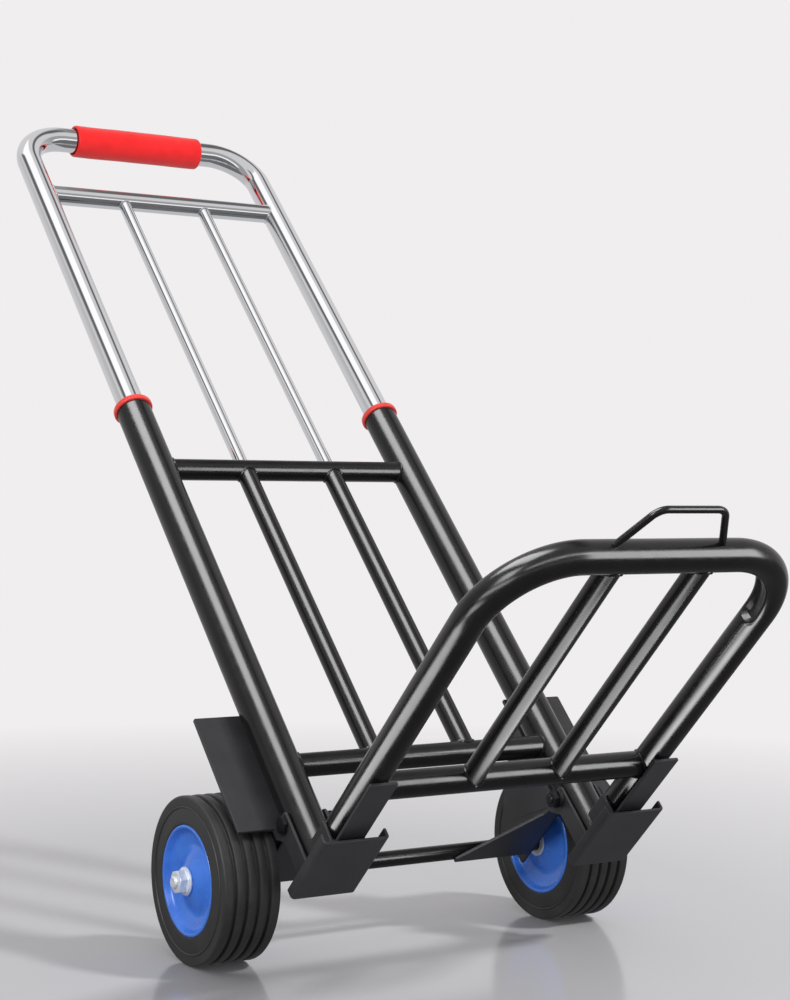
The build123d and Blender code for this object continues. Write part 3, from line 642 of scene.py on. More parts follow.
def plate_coat():
    """The same black powder on pressed sheet: thicker and duller, with a fine pebbled texture."""
    made, tree, place = blank("black_powder_coat_on_sheet")
    # Real pebbles are about 0.5 mm; 1.1 mm is the finest that shows here
    pebble = add(tree, "ShaderNodeTexNoise", {"Vector": place, "Scale": per(1.1), "Detail": 2.0})
    bump = add(tree, "ShaderNodeBump", {"Height": pebble, "Strength": 0.12, "Distance": 0.0003})
    # Lighter grey than the tube coat: partly the duller pebbled finish, partly painted reflection of the
    # broad light flat sheet catches
    cloud, colour = clouded(tree, place, 30.0, 4.0, "2D2D2F", "363638")
    rough = add(tree, "ShaderNodeMapRange", {"Value": cloud, **NOISE_RANGE, "To Min": 0.36, "To Max": 0.46})
    return coated(made, {"Base Color": colour, "Roughness": rough, "Normal": bump, "IOR": 1.5})


def chrome():
    """Decorative chrome on steel tube: bright mirror, a touch of blue, faint handling haze."""
    made, tree, place = blank("chrome_plate")
    inputs = {"Vector": place, "Scale": per(30.0), "Detail": 4.0, "Roughness": 0.6}
    haze = add(tree, "ShaderNodeTexNoise", inputs)
    rough = add(tree, "ShaderNodeMapRange", {"Value": haze, **NOISE_RANGE, "To Min": 0.04, "To Max": 0.09})
    return coated(made, {"Base Color": linear("E2E4E6"), "Metallic": 1.0, "Roughness": rough})


def zinc():
    """Clear zinc plate on fasteners: pale blue-white metal with a fine crystal grain."""
    made, tree, place = blank("zinc_plate")
    crystal = add(tree, "ShaderNodeTexVoronoi", {"Vector": place, "Scale": per(2.2)}, feature="F1")
    fleck = add(tree, "ShaderNodeRGBToBW", {"Color": crystal.outputs["Color"]})
    inputs = {"Factor": fleck, "A": linear("DCE4EE"), "B": linear("F4F8FC")}
    colour = add(tree, "ShaderNodeMix", inputs, data_type="RGBA")
    rough = add(tree, "ShaderNodeMapRange", {"Value": fleck, "To Min": 0.3, "To Max": 0.42})
    return coated(made, {"Base Color": colour, "Metallic": 0.45, "Roughness": rough})


def black_zinc():
    """Black passivated zinc on the pivot's fasteners: near-black metal with a soft sheen."""
    made, tree, place = blank("black_zinc")
    cloud, colour = clouded(tree, place, 3.0, 3.0, "1C1C1E", "29292C")
    rough = add(tree, "ShaderNodeMapRange", {"Value": cloud, **NOISE_RANGE, "To Min": 0.3, "To Max": 0.42})
    return coated(made, {"Base Color": colour, "Metallic": 0.6, "Roughness": rough})


def collar_plastic():
    """Moulded red nylon: bright, smooth and slightly waxy."""
    made, tree, place = blank("red_plastic")
    colour = clouded(tree, place, 9.0, 2.0, "E0403A", "EC4A41")[1]
    return coated(made, {"Base Color": colour, "Roughness": 0.3, "IOR": 1.5})


def dark_plastic():
    """Black moulded plastic: matte with a fine spark-eroded grain."""
    made, tree, place = blank("black_plastic")
    grain, colour = clouded(tree, place, 0.9, 2.0, "1B1B1C", "262627")
    bump = add(tree, "ShaderNodeBump", {"Height": grain, "Strength": 0.2, "Distance": 0.0002})
    return coated(made, {"Base Color": colour, "Roughness": 0.55, "Normal": bump, "IOR": 1.48})


def bush_nylon():
    """Natural nylon: milky off-white and waxy."""
    made, tree, place = blank("pale_nylon")
    colour = clouded(tree, place, 6.0, 2.0, "DAD7CC", "E6E3D8")[1]
    return coated(made, {"Base Color": colour, "Roughness": 0.42, "IOR": 1.53})


def grip_foam():
    """Closed-cell rubber foam, skinned: soft matte red with fine pores."""
    made, tree, place = blank("red_foam")
    # Real pores are about 0.4 mm; 0.9 mm is the finest that shows here
    pores = add(tree, "ShaderNodeTexVoronoi", {"Vector": place, "Scale": per(0.9)}, feature="F1")
    bump = add(tree, "ShaderNodeBump", {"Height": pores, "Strength": 0.22, "Distance": 0.0003})
    colour = clouded(tree, place, 14.0, 3.0, "E4171A", "EE1F22")[1]
    inputs = {
        "Base Color": colour,
        "Roughness": 0.55,
        "Normal": bump,
        "IOR": 1.4,
        "Sheen Weight": 0.45,
        "Sheen Roughness": 0.5,
        "Sheen Tint": linear("FFC4BC"),
    }
    return coated(made, inputs)


def rubber():
    """Moulded solid rubber: dull charcoal with a dusty bloom and a faint mould texture."""
    made, tree, place = blank("tyre_rubber")
    inputs = {"Vector": place, "Scale": per(1.1), "Detail": 3.0, "Roughness": 0.6}
    grain = add(tree, "ShaderNodeTexNoise", inputs)
    bump = add(tree, "ShaderNodeBump", {"Height": grain, "Strength": 0.25, "Distance": 0.0003})
    bloom, colour = clouded(tree, place, 22.0, 5.0, "262626", "323131", 0.6)
    rough = add(tree, "ShaderNodeMapRange", {"Value": bloom, **NOISE_RANGE, "To Min": 0.42, "To Max": 0.56})
    return coated(made, {"Base Color": colour, "Roughness": rough, "Normal": bump, "IOR": 1.5})


def enamel():
    """Blue stoving enamel on pressed steel: glossy, slightly uneven, with a soft orange peel."""
    made, tree, place = blank("blue_enamel")
    peel = add(tree, "ShaderNodeTexNoise", {"Vector": place, "Scale": per(2.2), "Detail": 1.0})
    bump = add(tree, "ShaderNodeBump", {"Height": peel, "Strength": 0.06, "Distance": 0.0003})
    cloud, colour = clouded(tree, place, 18.0, 3.0, "3872D4", "427EE0")
    rough = add(tree, "ShaderNodeMapRange", {"Value": cloud, **NOISE_RANGE, "To Min": 0.24, "To Max": 0.32})
    return coated(made, {"Base Color": colour, "Roughness": rough, "Normal": bump, "IOR": 1.52})


FINISH = {
    "black_powder_coat": powder_coat(),
    "black_powder_coat_on_sheet": plate_coat(),
    "chrome_plate": chrome(),
    "zinc_plate": zinc(),
    "black_zinc": black_zinc(),
    "red_plastic": collar_plastic(),
    "black_plastic": dark_plastic(),
    "pale_nylon": bush_nylon(),
    "red_foam": grip_foam(),
    "tyre_rubber": rubber(),
    "blue_enamel": enamel(),
}


# Pieces


def piece(name, body, finish, shapes, stands_for=(), crease=32.0):
    """One object from shapes: doubles merged, faces turned outwards, smooth but for its sharp edges."""
    points, faces = joined(shapes)
    mesh = bpy.data.meshes.new(name)
    mesh.from_pydata(lean(points).tolist(), [], faces)
    made = bmesh.new()
    made.from_mesh(mesh)
    bmesh.ops.remove_doubles(made, verts=made.verts, dist=1e-6)
    bmesh.ops.dissolve_degenerate(made, edges=made.edges, dist=1e-7)
    bmesh.ops.recalc_face_normals(made, faces=made.faces)
    made.to_mesh(mesh)
    made.free()
    mesh.shade_smooth()
    mesh.set_sharp_from_angle(angle=radians(crease))
    mesh.materials.append(finish)
    shown = bpy.data.objects.new(name, mesh)
    bpy.context.scene.collection.objects.link(shown)
    even = shown.modifiers.new("even_normals", "WEIGHTED_NORMAL")
    even.keep_sharp = True
    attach(shown, body)
    if stands_for:
        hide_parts(*stands_for)
    if finish != FINISH["chrome_plate"]:
        for group in UNCHROMED:
            group.objects.link(shown)
    if finish == FINISH["black_powder_coat"]:
        glossed.objects.link(shown)
    return shown


def made_of(slot, name, body, shapes, stands_for=()):
    """A piece in one of the record's finishes."""
    return piece(name, body, FINISH[slot], shapes, stands_for)


def plate(name, body, shapes, stands_for):
    """A piece of flat sheet, in the duller coat."""
    return piece(name, body, FINISH["black_powder_coat_on_sheet"], shapes, stands_for)


# Frame


def main_tubes():
    """The two main tubes, open at both ends."""
    low, high = upright("frame_tube_left")
    for name, side in SIDES:
        path = straight((side * TUBE_X, FRAME_Y, low[2]), (side * TUBE_X, FRAME_Y, high[2]))
        shape = pipe(path, ACROSS, TUBE_RADIUS, TUBE_RADIUS - TUBE_WALL)
        made_of("black_powder_coat", "main_tube_" + name, "frame", [shape], ["frame_tube_" + name])


def frame_bars():
    """The two crossbars and the two back rods, with weld runs at every end."""
    welds = []
    levels = {}
    for node in ("upper_crossbar", "lower_crossbar"):
        radius = radius_of(node, 1)
        level = middle(node)[2]
        levels[node] = level
        left, right = [np.array([side * TUBE_X, FRAME_Y, level]) for name, side in SIDES]
        shape, runs = welded(left, right, BACK, radius, (TUBE_RADIUS, TUBE_RADIUS))
        made_of("black_powder_coat", node + "_bar", "frame", [shape], [node])
        welds.extend(runs)
    bar = radius_of("upper_crossbar", 1)
    for name, side in SIDES:
        node = "rod_sleeve_" + name
        x = middle(node)[0]
        radius = radius_of(node, 0)
        foot = np.array([x, FRAME_Y, levels["lower_crossbar"]])
        head = np.array([x, FRAME_Y, levels["upper_crossbar"]])
        shape, runs = welded(foot, head, BACK, radius, (bar, bar))
        made_of("black_powder_coat", "back_rod_" + name, "frame", [shape], [node])
        welds.extend(runs)
    made_of("black_powder_coat", "frame_welds", "frame", welds)


def collars():
    """Red collars: a rounded lip on the tube's end, then the spigot inside it."""
    low, high = upright("collar_left")
    outer = (high[0] - low[0]) / 2
    bore = radius_of("handle_tube", 1) + COLLAR_PLAY
    seat = high[2] - COLLAR_LIP
    spigot = TUBE_RADIUS - TUBE_WALL
    outline = [
        (bore, low[2], 0.3),
        (spigot, low[2], 0.3),
        (spigot, seat, 0.1),
        (outer, seat, 1.2),
        (outer, high[2], 2.0),
        (bore, high[2], 0.6),
    ]
    for name, side in SIDES:
        shape = turned(rounded(outline), (side * TUBE_X, FRAME_Y, 0.0), UP)
        made_of("red_plastic", "tube_collar_" + name, "frame", [shape], ["collar_" + name])


def brackets():
    """Wheel brackets: a guard plate behind the tube, a gusset at the axle tube, a web beside the wheel."""
    low, high = upright("wheel_bracket_left")
    front = low[1]
    back = front + BRACKET_SHEET
    foot = low[2]
    tip = high[0]
    guard = rectangle(low[0], -BRACKET_INNER, foot, high[2], GUARD_CORNER)
    gusset = [
        (tip, GUSSET_LIP, GUSSET_CORNER),
        (-GUSSET_EDGE, GUSSET_LIP, GUSSET_CORNER),
        (-GUSSET_EDGE, front, GUSSET_CORNER),
        (-GUSSET_EDGE + GUSSET_ROOT, front, GUSSET_CORNER),
        (-GUSSET_EDGE + GUSSET_WAIST, front + GUSSET_NECK, GUSSET_CORNER),
        (tip, -GUSSET_LIP, GUSSET_CORNER),
    ]
    web = [
        (back - WEB_SINK, foot, 0.3),
        (high[1], foot, 2.0),
        (high[1], WEB_STEP, 2.0),
        (back - WEB_SINK, high[2], 1.0),
    ]
    sheets = [
        slab(guard, front, back, (0, 2, 1)),
        slab(rounded(gusset), foot, foot + BRACKET_SHEET, (0, 1, 2)),
        slab(rounded(web), -GUSSET_EDGE, -GUSSET_EDGE + BRACKET_SHEET, (1, 2, 0)),
    ]
    for name, side in SIDES:
        shapes = [sided(sheet, side) for sheet in sheets]
        made = plate("guard_bracket_" + name, "frame", shapes, ["wheel_bracket_" + name])
        front_lit.objects.unlink(made)


def axle():
    """Spacer tube, axle with threaded ends, washers, and nuts with flanges."""
    low, high = upright("axle_tube")
    radius = radius_of("axle_tube", 1)
    rod = radius_of("axle_rod", 1)
    path = straight((low[0], 0.0, 0.0), (high[0], 0.0, 0.0))
    made_of("black_powder_coat", "axle_spacer", "frame", [pipe(path, UP, radius, rod)], ["axle_tube"])
    washer = upright("axle_washers")[1]
    face = washer[0]
    nut_end = upright("axle_nuts")[1][0]
    rod_end = upright("axle_rod")[1][0]
    left_nut = sided(six_sided(face, nut_end, 0.0, 0.0, NUT_ACROSS, rod), 1.0)
    flange = [
        (rod, 0, 0.3),
        (FLANGE_RADIUS, 0, 0.3),
        (FLANGE_RADIUS, FLANGE_EDGE, 0.3),
        (rod, FLANGE_HEIGHT, 0.3),
    ]
    ring = rectangle(rod, washer[1], 0.0, AXLE_WASHER, 0.35)
    core = pipe(straight((-face, 0, 0), (face, 0, 0)), UP, rod - HAIR, rod - AXLE_WALL)
    shaft = [core]
    nuts = []
    rings = []
    for name, side in SIDES:
        start = face - AXLE_THREAD_SINK
        shaft.append(threaded(side * start, side * rod_end, 0.0, 0.0, rod - HAIR))
        nuts.append(sided(left_nut, side))
        nuts.append(turned(rounded(flange), (side * face, 0, 0), ACROSS * side))
        for x in (face - AXLE_WASHER, high[0]):
            rings.append(turned(ring, (side * x, 0, 0), ACROSS * side))
    made_of("zinc_plate", "axle_shaft", "frame", shaft, ["axle_rod"])
    made_of("zinc_plate", "axle_end_nuts", "frame", nuts, ["axle_nuts"])
    made_of("zinc_plate", "axle_end_washers", "frame", rings, ["axle_washers"])


def pivots():
    """Pivot bolts, heads outside the ears, and the friction rings, washers and nuts inside them."""
    y = PIVOT[1]
    z = PIVOT[2]
    bolt_low, bolt_high = upright("pivot_bolts", True)
    ring_low, ring_high = upright("pivot_rings", True)
    washer_low, washer_high = upright("pivot_washers", True)
    nut_low, nut_high = upright("pivot_nuts", True)
    head = upright("hinge_ears_left")[0][0] - HEAD_GAP
    bolt = [
        six_sided(bolt_low[0], head, y, z, PIVOT_ACROSS),
        wire(straight((head - SHANK_SINK, y, z), (nut_low[0] + SHANK_REACH, y, z)), UP, PIVOT_RADIUS),
        threaded(nut_low[0] + SHANK_SINK, bolt_high[0], y, z, PIVOT_RADIUS - HAIR),
    ]
    thick = (ring_high[0] - ring_low[0]) / 2
    ring = rectangle(PIVOT_RADIUS, (ring_high[1] - ring_low[1]) / 2, 0.0, thick, 0.5)
    rings = [turned(ring, (ring_low[0] + i * thick, y, z), ACROSS) for i in range(2)]
    washer_radius = (washer_high[1] - washer_low[1]) / 2
    flat = rectangle(PIVOT_RADIUS, washer_radius, 0.0, washer_high[0] - washer_low[0], 0.3)
    washer = turned(flat, (washer_low[0], y, z), ACROSS)
    nut = six_sided(nut_low[0], nut_high[0], y, z, PIVOT_ACROSS, PIVOT_RADIUS)
    sets = (
        ("black_zinc", "pivot_screws", bolt, "pivot_bolts"),
        ("black_plastic", "pivot_friction_rings", rings, "pivot_rings"),
        ("black_zinc", "pivot_flat_washers", [washer], "pivot_washers"),
        ("black_zinc", "pivot_end_nuts", [nut], "pivot_nuts"),
    )
    for slot, name, shapes, node in sets:
        both = [sided(shape, side) for word, side in SIDES for shape in shapes]
        made_of(slot, name, "frame", both, [node])


# Wheels


def tyre_profile():
    """Tyre's outline as (radius, along): sidewall with a raised ring, crisp shoulder, tread, mirrored.

    A groove lowers the tread by GROOVE_DEPTH times a smooth step of the distance from its middle, and the
    ribs fall off towards the grooves by RIB_CROWN times the square of the distance from their own middle.
    """
    half = TYRE_HALF
    side = [(RIM_SEAT, half - RIM_LIP), (RIM_RADIUS, half - RIM_LIP)]
    side += [(RIM_RADIUS + out, half - depth) for out, depth in SIDEWALL_FOOT]
    side += [(SIDEWALL_RING + out, half - depth) for out, depth in RING_BEFORE + RING_AFTER]
    t = np.linspace(0.0, pi / 2, 7)
    climb = WHEEL_RADIUS - SHOULDER + SHOULDER * np.sin(t)
    edge = half - SHOULDER_SINK - SHOULDER * (1 - np.cos(t))
    x = np.linspace(edge[-1], -edge[-1], 161)[1:-1]
    middles = GROOVE_PITCH * (np.arange(GROOVES) - (GROOVES - 1) / 2)
    gap = np.abs(x[:, None] - middles[None, :]).min(1)
    step = np.clip((GROOVE_WIDTH / 2 - gap) / GROOVE_WALL, 0.0, 1.0)
    fall = np.clip(1 - 2 * gap / GROOVE_PITCH, 0.0, 1.0)
    tread = WHEEL_RADIUS - GROOVE_DEPTH * step * step * (3 - 2 * step) - RIB_CROWN * fall * fall
    first = np.concatenate([side, np.stack([climb, edge], 1)])
    return np.concatenate([first, np.stack([tread, x], 1), first[::-1] * (1, -1)])


def rim_profile():
    """Pressed half rim's outline as (radius, along): seat, rolled lip, dish, hub cone and its back."""
    half = TYRE_HALF
    boss = HUB_RADIUS + RIM_SHEET
    seat_back = RIM_SEAT - RIM_SHEET
    dish = half - DISH_DEPTH
    outline = [
        (RIM_SEAT - HAIR, 0.0, 0.1),
        (RIM_SEAT - HAIR, half - RIM_LIP, 0.5),
        (RIM_RADIUS - HAIR, half - RIM_LIP, 0.3),
        (RIM_RADIUS - HAIR, half - LIP_SINK, 1.4),
        (RIM_RADIUS - LIP_WIDTH, half - LIP_SINK, 1.4),
        (RIM_RADIUS - DISH_WALL_IN, half - DISH_WALL_DEPTH, 5.0),
        (RIM_RADIUS - DISH_IN, dish, 7.0),
        (boss + BOSS_FLARE, half - HUB_SINK - BOSS_DROP, 1.6),
        (boss - BOSS_INSET, half - HUB_SINK, 0.6),
        (HUB_RADIUS, half - HUB_SINK, 0.3),
        (HUB_RADIUS, half - HUB_LENGTH, 0.3),
        (RIM_RADIUS - DISH_IN - DISH_BACK_IN, dish - RIM_SHEET, 5.0),
        (seat_back, dish + DISH_BACK_RISE - RIM_SHEET, 2.0),
        (seat_back, 0.0, 0.1),
    ]
    return rounded(outline)


def wheels():
    """Tyres and rims."""
    for name, side in SIDES:
        body = "wheel_" + name
        centre = (side * WHEEL_X, 0.0, 0.0)
        tyre = turned(tyre_profile(), centre, ACROSS, 180)
        made_of("tyre_rubber", "tyre_tread_" + name, body, [tyre], ["tyre_" + name])
        halves = [turned(rim_profile(), centre, ACROSS * way, 128) for way in (-1.0, 1.0)]
        nodes = ["rim_outer_" + name, "rim_inner_" + name]
        made_of("blue_enamel", "rim_" + name, body, halves, nodes)


# Handle


def handle():
    """Chromed hairpin, its crossbar and the two sliding rods."""
    low, high = upright("handle_tube")
    radius = radius_of("handle_tube", 1)
    corners = hoop(TUBE_X, TUBE_X, (FRAME_Y, low[2]), (FRAME_Y, high[2] - radius))
    shape = pipe(bent(corners, HANDLE_BEND), BACK, radius, radius - TUBE_WALL)
    made_of("chrome_plate", "handle_hairpin", "handle", [shape], ["handle_tube"])
    level = middle("handle_crossbar")[2]
    bar = radius_of("handle_crossbar", 1)
    left, right = [np.array([side * TUBE_X, FRAME_Y, level]) for name, side in SIDES]
    shape, welds = welded(left, right, BACK, bar, (radius, radius), CHROME_WELD)
    made_of("chrome_plate", "handle_bar", "handle", [shape], ["handle_crossbar"])
    for name, side in SIDES:
        node = "handle_rod_" + name
        x = middle(node)[0]
        thin = radius_of(node, 0)
        head = np.array([x, FRAME_Y, level])
        foot = np.array([x, FRAME_Y, upright(node)[0][2]])
        shape, runs = welded(foot, head, BACK, thin, (0.0, bar), CHROME_WELD)
        made_of("chrome_plate", "slide_rod_" + name, "handle", [shape], [node])
        welds.extend(runs)
    made_of("chrome_plate", "handle_welds", "handle", welds)


def grip():
    """Foam sleeve: a tube that swells and dents a little, its ends rounded and its bore flared.

    The outer radius gains GRIP_SWELL * sin(2 pi x / GRIP_SWELL_LENGTH + 1) * cos(a) and
    GRIP_DENT * sin(3 a + x / GRIP_DENT_LENGTH), less GRIP_SINK, and the firm foam at the tube stays round.
    """
    low, high = upright("grip")
    end = high[0]
    radius = (high[1] - low[1]) / 2
    bore = radius_of("handle_tube", 1)
    y, z = (low + high)[1:] / 2
    t = np.linspace(0.0, pi / 2, 8)
    cap = np.stack([-end + GRIP_ROUND * (1 - np.sin(t)), radius - GRIP_ROUND * (1 - np.cos(t))], 1)[::-1]
    x = np.linspace(-end + GRIP_ROUND, end - GRIP_ROUND, 90)[1:-1]
    body = np.stack([x, np.full(len(x), radius)], 1)
    flare = np.array([(-end + inward, bore + outward) for inward, outward in GRIP_FLARE])
    half = np.concatenate([flare, cap])
    profile = np.concatenate([half, body, (half * (-1, 1))[::-1]])
    along = profile[:, :1]
    plain = profile[:, 1:]
    angle = turn(112)[0]
    swell = GRIP_SWELL * np.sin(2 * pi * along / GRIP_SWELL_LENGTH + 1) * np.cos(angle)
    dent = GRIP_DENT * np.sin(3 * angle + along / GRIP_DENT_LENGTH)
    share = np.clip((plain - bore - GRIP_FIRM) / (radius - bore - GRIP_FIRM), 0.0, 1.0)
    shape = spun(profile[:, 0], plain + (swell + dent - GRIP_SINK) * share, y, z, True)
    sleeve = made_of("red_foam", "grip_sleeve", "handle", [shape], ["grip"])


# Platform


def platform():
    """Load hairpin, its crossbar, the two load rods and the carry loop."""
    low, high = upright("platform_tube")
    radius = radius_of("platform_tube", 2)
    level = middle("platform_tube")[2]
    front = low[1] + radius
    corners = hoop(TUBE_X, TUBE_X, (high[1], level), (front, level))
    path = bent(corners, PLATFORM_BEND, steps=72, lead=0.2)
    shape = pipe(path, UP, radius, radius - TUBE_WALL, around=120)
    for name, side in SIDES:
        centre = (side * (TUBE_X - PLATFORM_BEND), front + PLATFORM_BEND, level)
        shape = pressed(shape, side, centre, PLATFORM_BEND)
    hairpin = made_of("black_powder_coat", "platform_hairpin", "platform", [shape], ["platform_tube"])
    hairpin_lit.objects.link(hairpin)
    y = middle("platform_crossbar")[1]
    bar = radius_of("platform_crossbar", 2)
    left, right = [np.array([side * TUBE_X, y, level]) for name, side in SIDES]
    shape, welds = welded(left, right, UP, bar, (radius, radius))
    made_of("black_powder_coat", "platform_bar", "platform", [shape], ["platform_crossbar"])
    for name, side in SIDES:
        node = "platform_rod_" + name
        x = middle(node)[0]
        thin = radius_of(node, 0)
        drop = middle(node)[2] - level
        foot = np.array([x, y, level])
        head = np.array([x, front, level])
        shape, runs = welded(foot, head, UP, thin, (bar, radius), drop=drop)
        rod = made_of("black_powder_coat", "load_rod_" + name, "platform", [shape], [node])
        rods_lit.objects.link(rod)
        welds.extend(runs)
    loop_low, loop_high = upright("carry_loop")
    thick = (loop_high[2] - loop_low[2]) / 2
    tip = loop_low[1] + thick
    base = front - radius + LOOP_SINK
    corners = hoop(LOOP_HALF_BASE, LOOP_HALF_TOP, (base, level), (tip, level))
    loop = wire(bent(corners, LOOP_BEND), UP, thick)
    made_of("black_powder_coat", "carry_wire", "platform", [loop], ["carry_loop"])
    made_of("black_powder_coat", "platform_welds", "platform", welds)


# Sheets of the hinge, drawn on the left: each one's outline, the levels it starts at and its thickness


def shoe():
    """Channel shoe that the platform stands on, open at the top."""
    low, high = upright("shoe_left")
    outline = [
        (low[0], high[2], LIP_CORNER),
        (low[0], low[2], SHOE_BEND),
        (high[0], low[2], SHOE_BEND),
        (high[0], high[2], LIP_CORNER),
        (high[0] - SHOE_SHEET, high[2], LIP_CORNER),
        (high[0] - SHOE_SHEET, SHOE_FLOOR, SHOE_INNER_BEND),
        (low[0] + SHOE_SHEET, SHOE_FLOOR, SHOE_INNER_BEND),
        (low[0] + SHOE_SHEET, high[2], LIP_CORNER),
    ]
    return outline, [low[1]], high[1] - low[1]


def ears():
    """Pair of ears that hold the pivot bolt, with heels that rest under the wheel bracket."""
    low, high = upright("hinge_ears_left")
    y = PIVOT[1]
    head = PIVOT[2] + EAR_HEAD
    half = EAR_WIDTH / 2
    heel = high[1]
    heel_top = upright("wheel_bracket_left")[0][2] - HEEL_GAP
    heel_foot = heel_top - HEEL_HEIGHT
    outline = [
        (y - half, SHOE_FLOOR, FOOT_CORNER),
        (y + half, SHOE_FLOOR, FOOT_CORNER),
        (y + half, heel_foot - (heel - y - half), 3.0),
        (heel, heel_foot, 1.5),
        (heel, heel_top, 1.5),
        (y + EAR_NECK, heel_top, 0.5),
        (y + EAR_CROWN, head, 3.0),
        (y - EAR_HEAD, head, EAR_HEAD),
        (y - EAR_HEAD, PIVOT[2], EAR_WAIST),
    ]
    return outline, [low[0], high[0] - EAR_SHEET], EAR_SHEET


def cheeks():
    """Pair of cheeks that hold the platform tube's back end."""
    low, high = upright("cheeks_left")
    outline = [
        (low[1], SHOE_FLOOR, FOOT_CORNER),
        (high[1], SHOE_FLOOR, FOOT_CORNER),
        (high[1], high[2], 1.5),
        (low[1], high[2], 1.5),
    ]
    return outline, [low[0], high[0] - CHEEK_SHEET], CHEEK_SHEET


def strap():
    """Flat strap that steps up from the shoe's floor to the underside of the platform tube."""
    low, high = upright("strap_left")
    step_back = upright("platform_tube")[1][1] + STRAP_STEP_BEHIND
    step_front = step_back - STRAP_STEP
    outline = [
        (high[1], SHOE_FLOOR, LIP_CORNER),
        (step_back, SHOE_FLOOR, STRAP_BEND),
        (step_front, high[2] - STRAP_SHEET, STRAP_BEND),
        (low[1], high[2] - STRAP_SHEET, LIP_CORNER),
        (low[1], high[2], LIP_CORNER),
        (step_front, high[2], STRAP_BEND),
        (step_back, SHOE_FLOOR + STRAP_SHEET, STRAP_BEND),
        (high[1], SHOE_FLOOR + STRAP_SHEET, LIP_CORNER),
    ]
    return outline, [low[0]], high[0] - low[0]


def hinges():
    """The sheets that join the platform to the frame.

    A shoe's outline lies in x and z and its sheet runs along y; the others lie in y and z.
    """
    sets = (
        ("hinge_shoe_", "shoe_", shoe(), (0, 2, 1)),
        ("hinge_uprights_", "hinge_ears_", ears(), (1, 2, 0)),
        ("shoe_cheeks_", "cheeks_", cheeks(), (1, 2, 0)),
        ("tube_strap_", "strap_", strap(), (1, 2, 0)),
    )
    for word, side in SIDES:
        for name, node, (outline, starts, thick), axes in sets:
            flat = rounded(outline)
            shapes = [sided(slab(flat, start, start + thick, axes), side) for start in starts]
            plate(name + word, "platform", shapes, [node + word])


# Solids that keep their shape and only take a finish
KEPT = {
    "end_plugs": "black_plastic",
    "platform_plugs": "black_plastic",
    "rod_guides": "pale_nylon",
    "rod_stops": "pale_nylon",
    "slide_bushes": "pale_nylon",
    "hub_sleeve_left": "pale_nylon",
    "hub_sleeve_right": "pale_nylon",
}


def kept():
    """Finishes of the solids that stay as they are."""
    for node, slot in KEPT.items():
        solid = frame["nodes"][node]
        solid.data.materials.clear()
        solid.data.materials.append(FINISH[slot])
        for group in UNCHROMED:
            group.objects.link(solid)


# Stage, in metres

WALL = "F0EEEF"
FLOOR = "DADADD"
# Colour of the floor's painted reflection: the glow that the shiny pieces see in place of the lit floor
FLOOR_MIRRORED = "CECED1"
FLOOR_REACH = 6.0
FLOOR_EDGE = 0.9
FLOOR_SOFT = 0.5
FLOOR_DIM = 0.28
LAMP_LIFT = 0.004

# The room as the shiny pieces see it: the way to its wall, the wall's place and the strengths of its sides
WALL_WAY = (0.299, 0.954, 0.0)
WALL_DISTANCE = 0.426
WALL_SOFT = 0.005
ROOM = 0.46
WALL_SIDE = 0.82
CEILING = 0.88
FILL = 0.52

# Where it changes, as ranges of a direction's share towards the wall or of its x, y and z: first to the wall
# and to the ceiling, then the dark flags and the white box overhead and the white strip in front
WALL_TURN = (-0.2, 0.7)
CEILING_TURN = (0.42, 0.52)
OVERHEAD_TURN = (0.55, 0.65)
FLAGS_X = ((-0.68, -0.53), (0.36, 0.54))
FLAGS_Y = (-0.3, 0.6)
FLAGS_SOFT = 0.1
FLAG_SHADE = 0.2
BOX_X = (-0.51, 0.03)
BOX_Y = (-0.15, 0.45)
BOX_GAIN = 0.6
STRIP_TURN = (-0.6, -0.4)
STRIP_Z = (-0.1, 0.1)
STRIP_GAIN = 0.9


def camera():
    """Camera at the photograph's viewpoint: turned about z, tipped down, then rolled about its own axis."""
    azimuth = radians(CAMERA_AZIMUTH)
    down = radians(CAMERA_DOWN)
    roll = radians(CAMERA_ROLL)
    ahead = np.array([-sin(azimuth) * cos(down), cos(azimuth) * cos(down), -sin(down)])
    right = np.array([cos(azimuth), sin(azimuth), 0.0])
    above = np.cross(right, ahead)
    rolled_right = right * cos(roll) + above * sin(roll)
    rolled_above = above * cos(roll) - right * sin(roll)
    place = np.array(CAMERA_PLACE) * MM
    data = bpy.data.cameras.new("photo_camera")
    data.sensor_width = SENSOR_SIDE
    data.lens = FOCAL_PIXELS * SENSOR_SIDE / PHOTO_HEIGHT
    made = bpy.data.objects.new("photo_camera", data)
    matrix = Matrix(np.stack([rolled_right, rolled_above, -ahead], 1).tolist()).to_4x4()
    matrix.translation = Vector(place.tolist())
    made.matrix_world = matrix
    bpy.context.scene.collection.objects.link(made)
    bpy.context.scene.camera = made


def band(tree, value, limits, share, soft=0.03):
    """A share that holds between two limits and falls to zero over a soft edge on either side."""
    start, stop = limits
    edge = between(stop - soft, stop + soft)
    fall = add(tree, "ShaderNodeMapRange", {"Value": value, **edge, "To Min": share, "To Max": 0.0})
    edge = between(start - soft, start + soft)
    return add(tree, "ShaderNodeMapRange", {"Value": value, **edge, "To Max": fall})


def shiny_or(tree, path, matt, shiny):
    """One shader for the rays that mirror or pass through, and another for the rest."""
    inputs = {0: path["Is Glossy Ray"], 1: path["Is Transmission Ray"]}
    share = add(tree, "ShaderNodeMath", inputs, operation="MAXIMUM")
    return add(tree, "ShaderNodeMixShader", {0: share, 1: matt, 2: shiny})


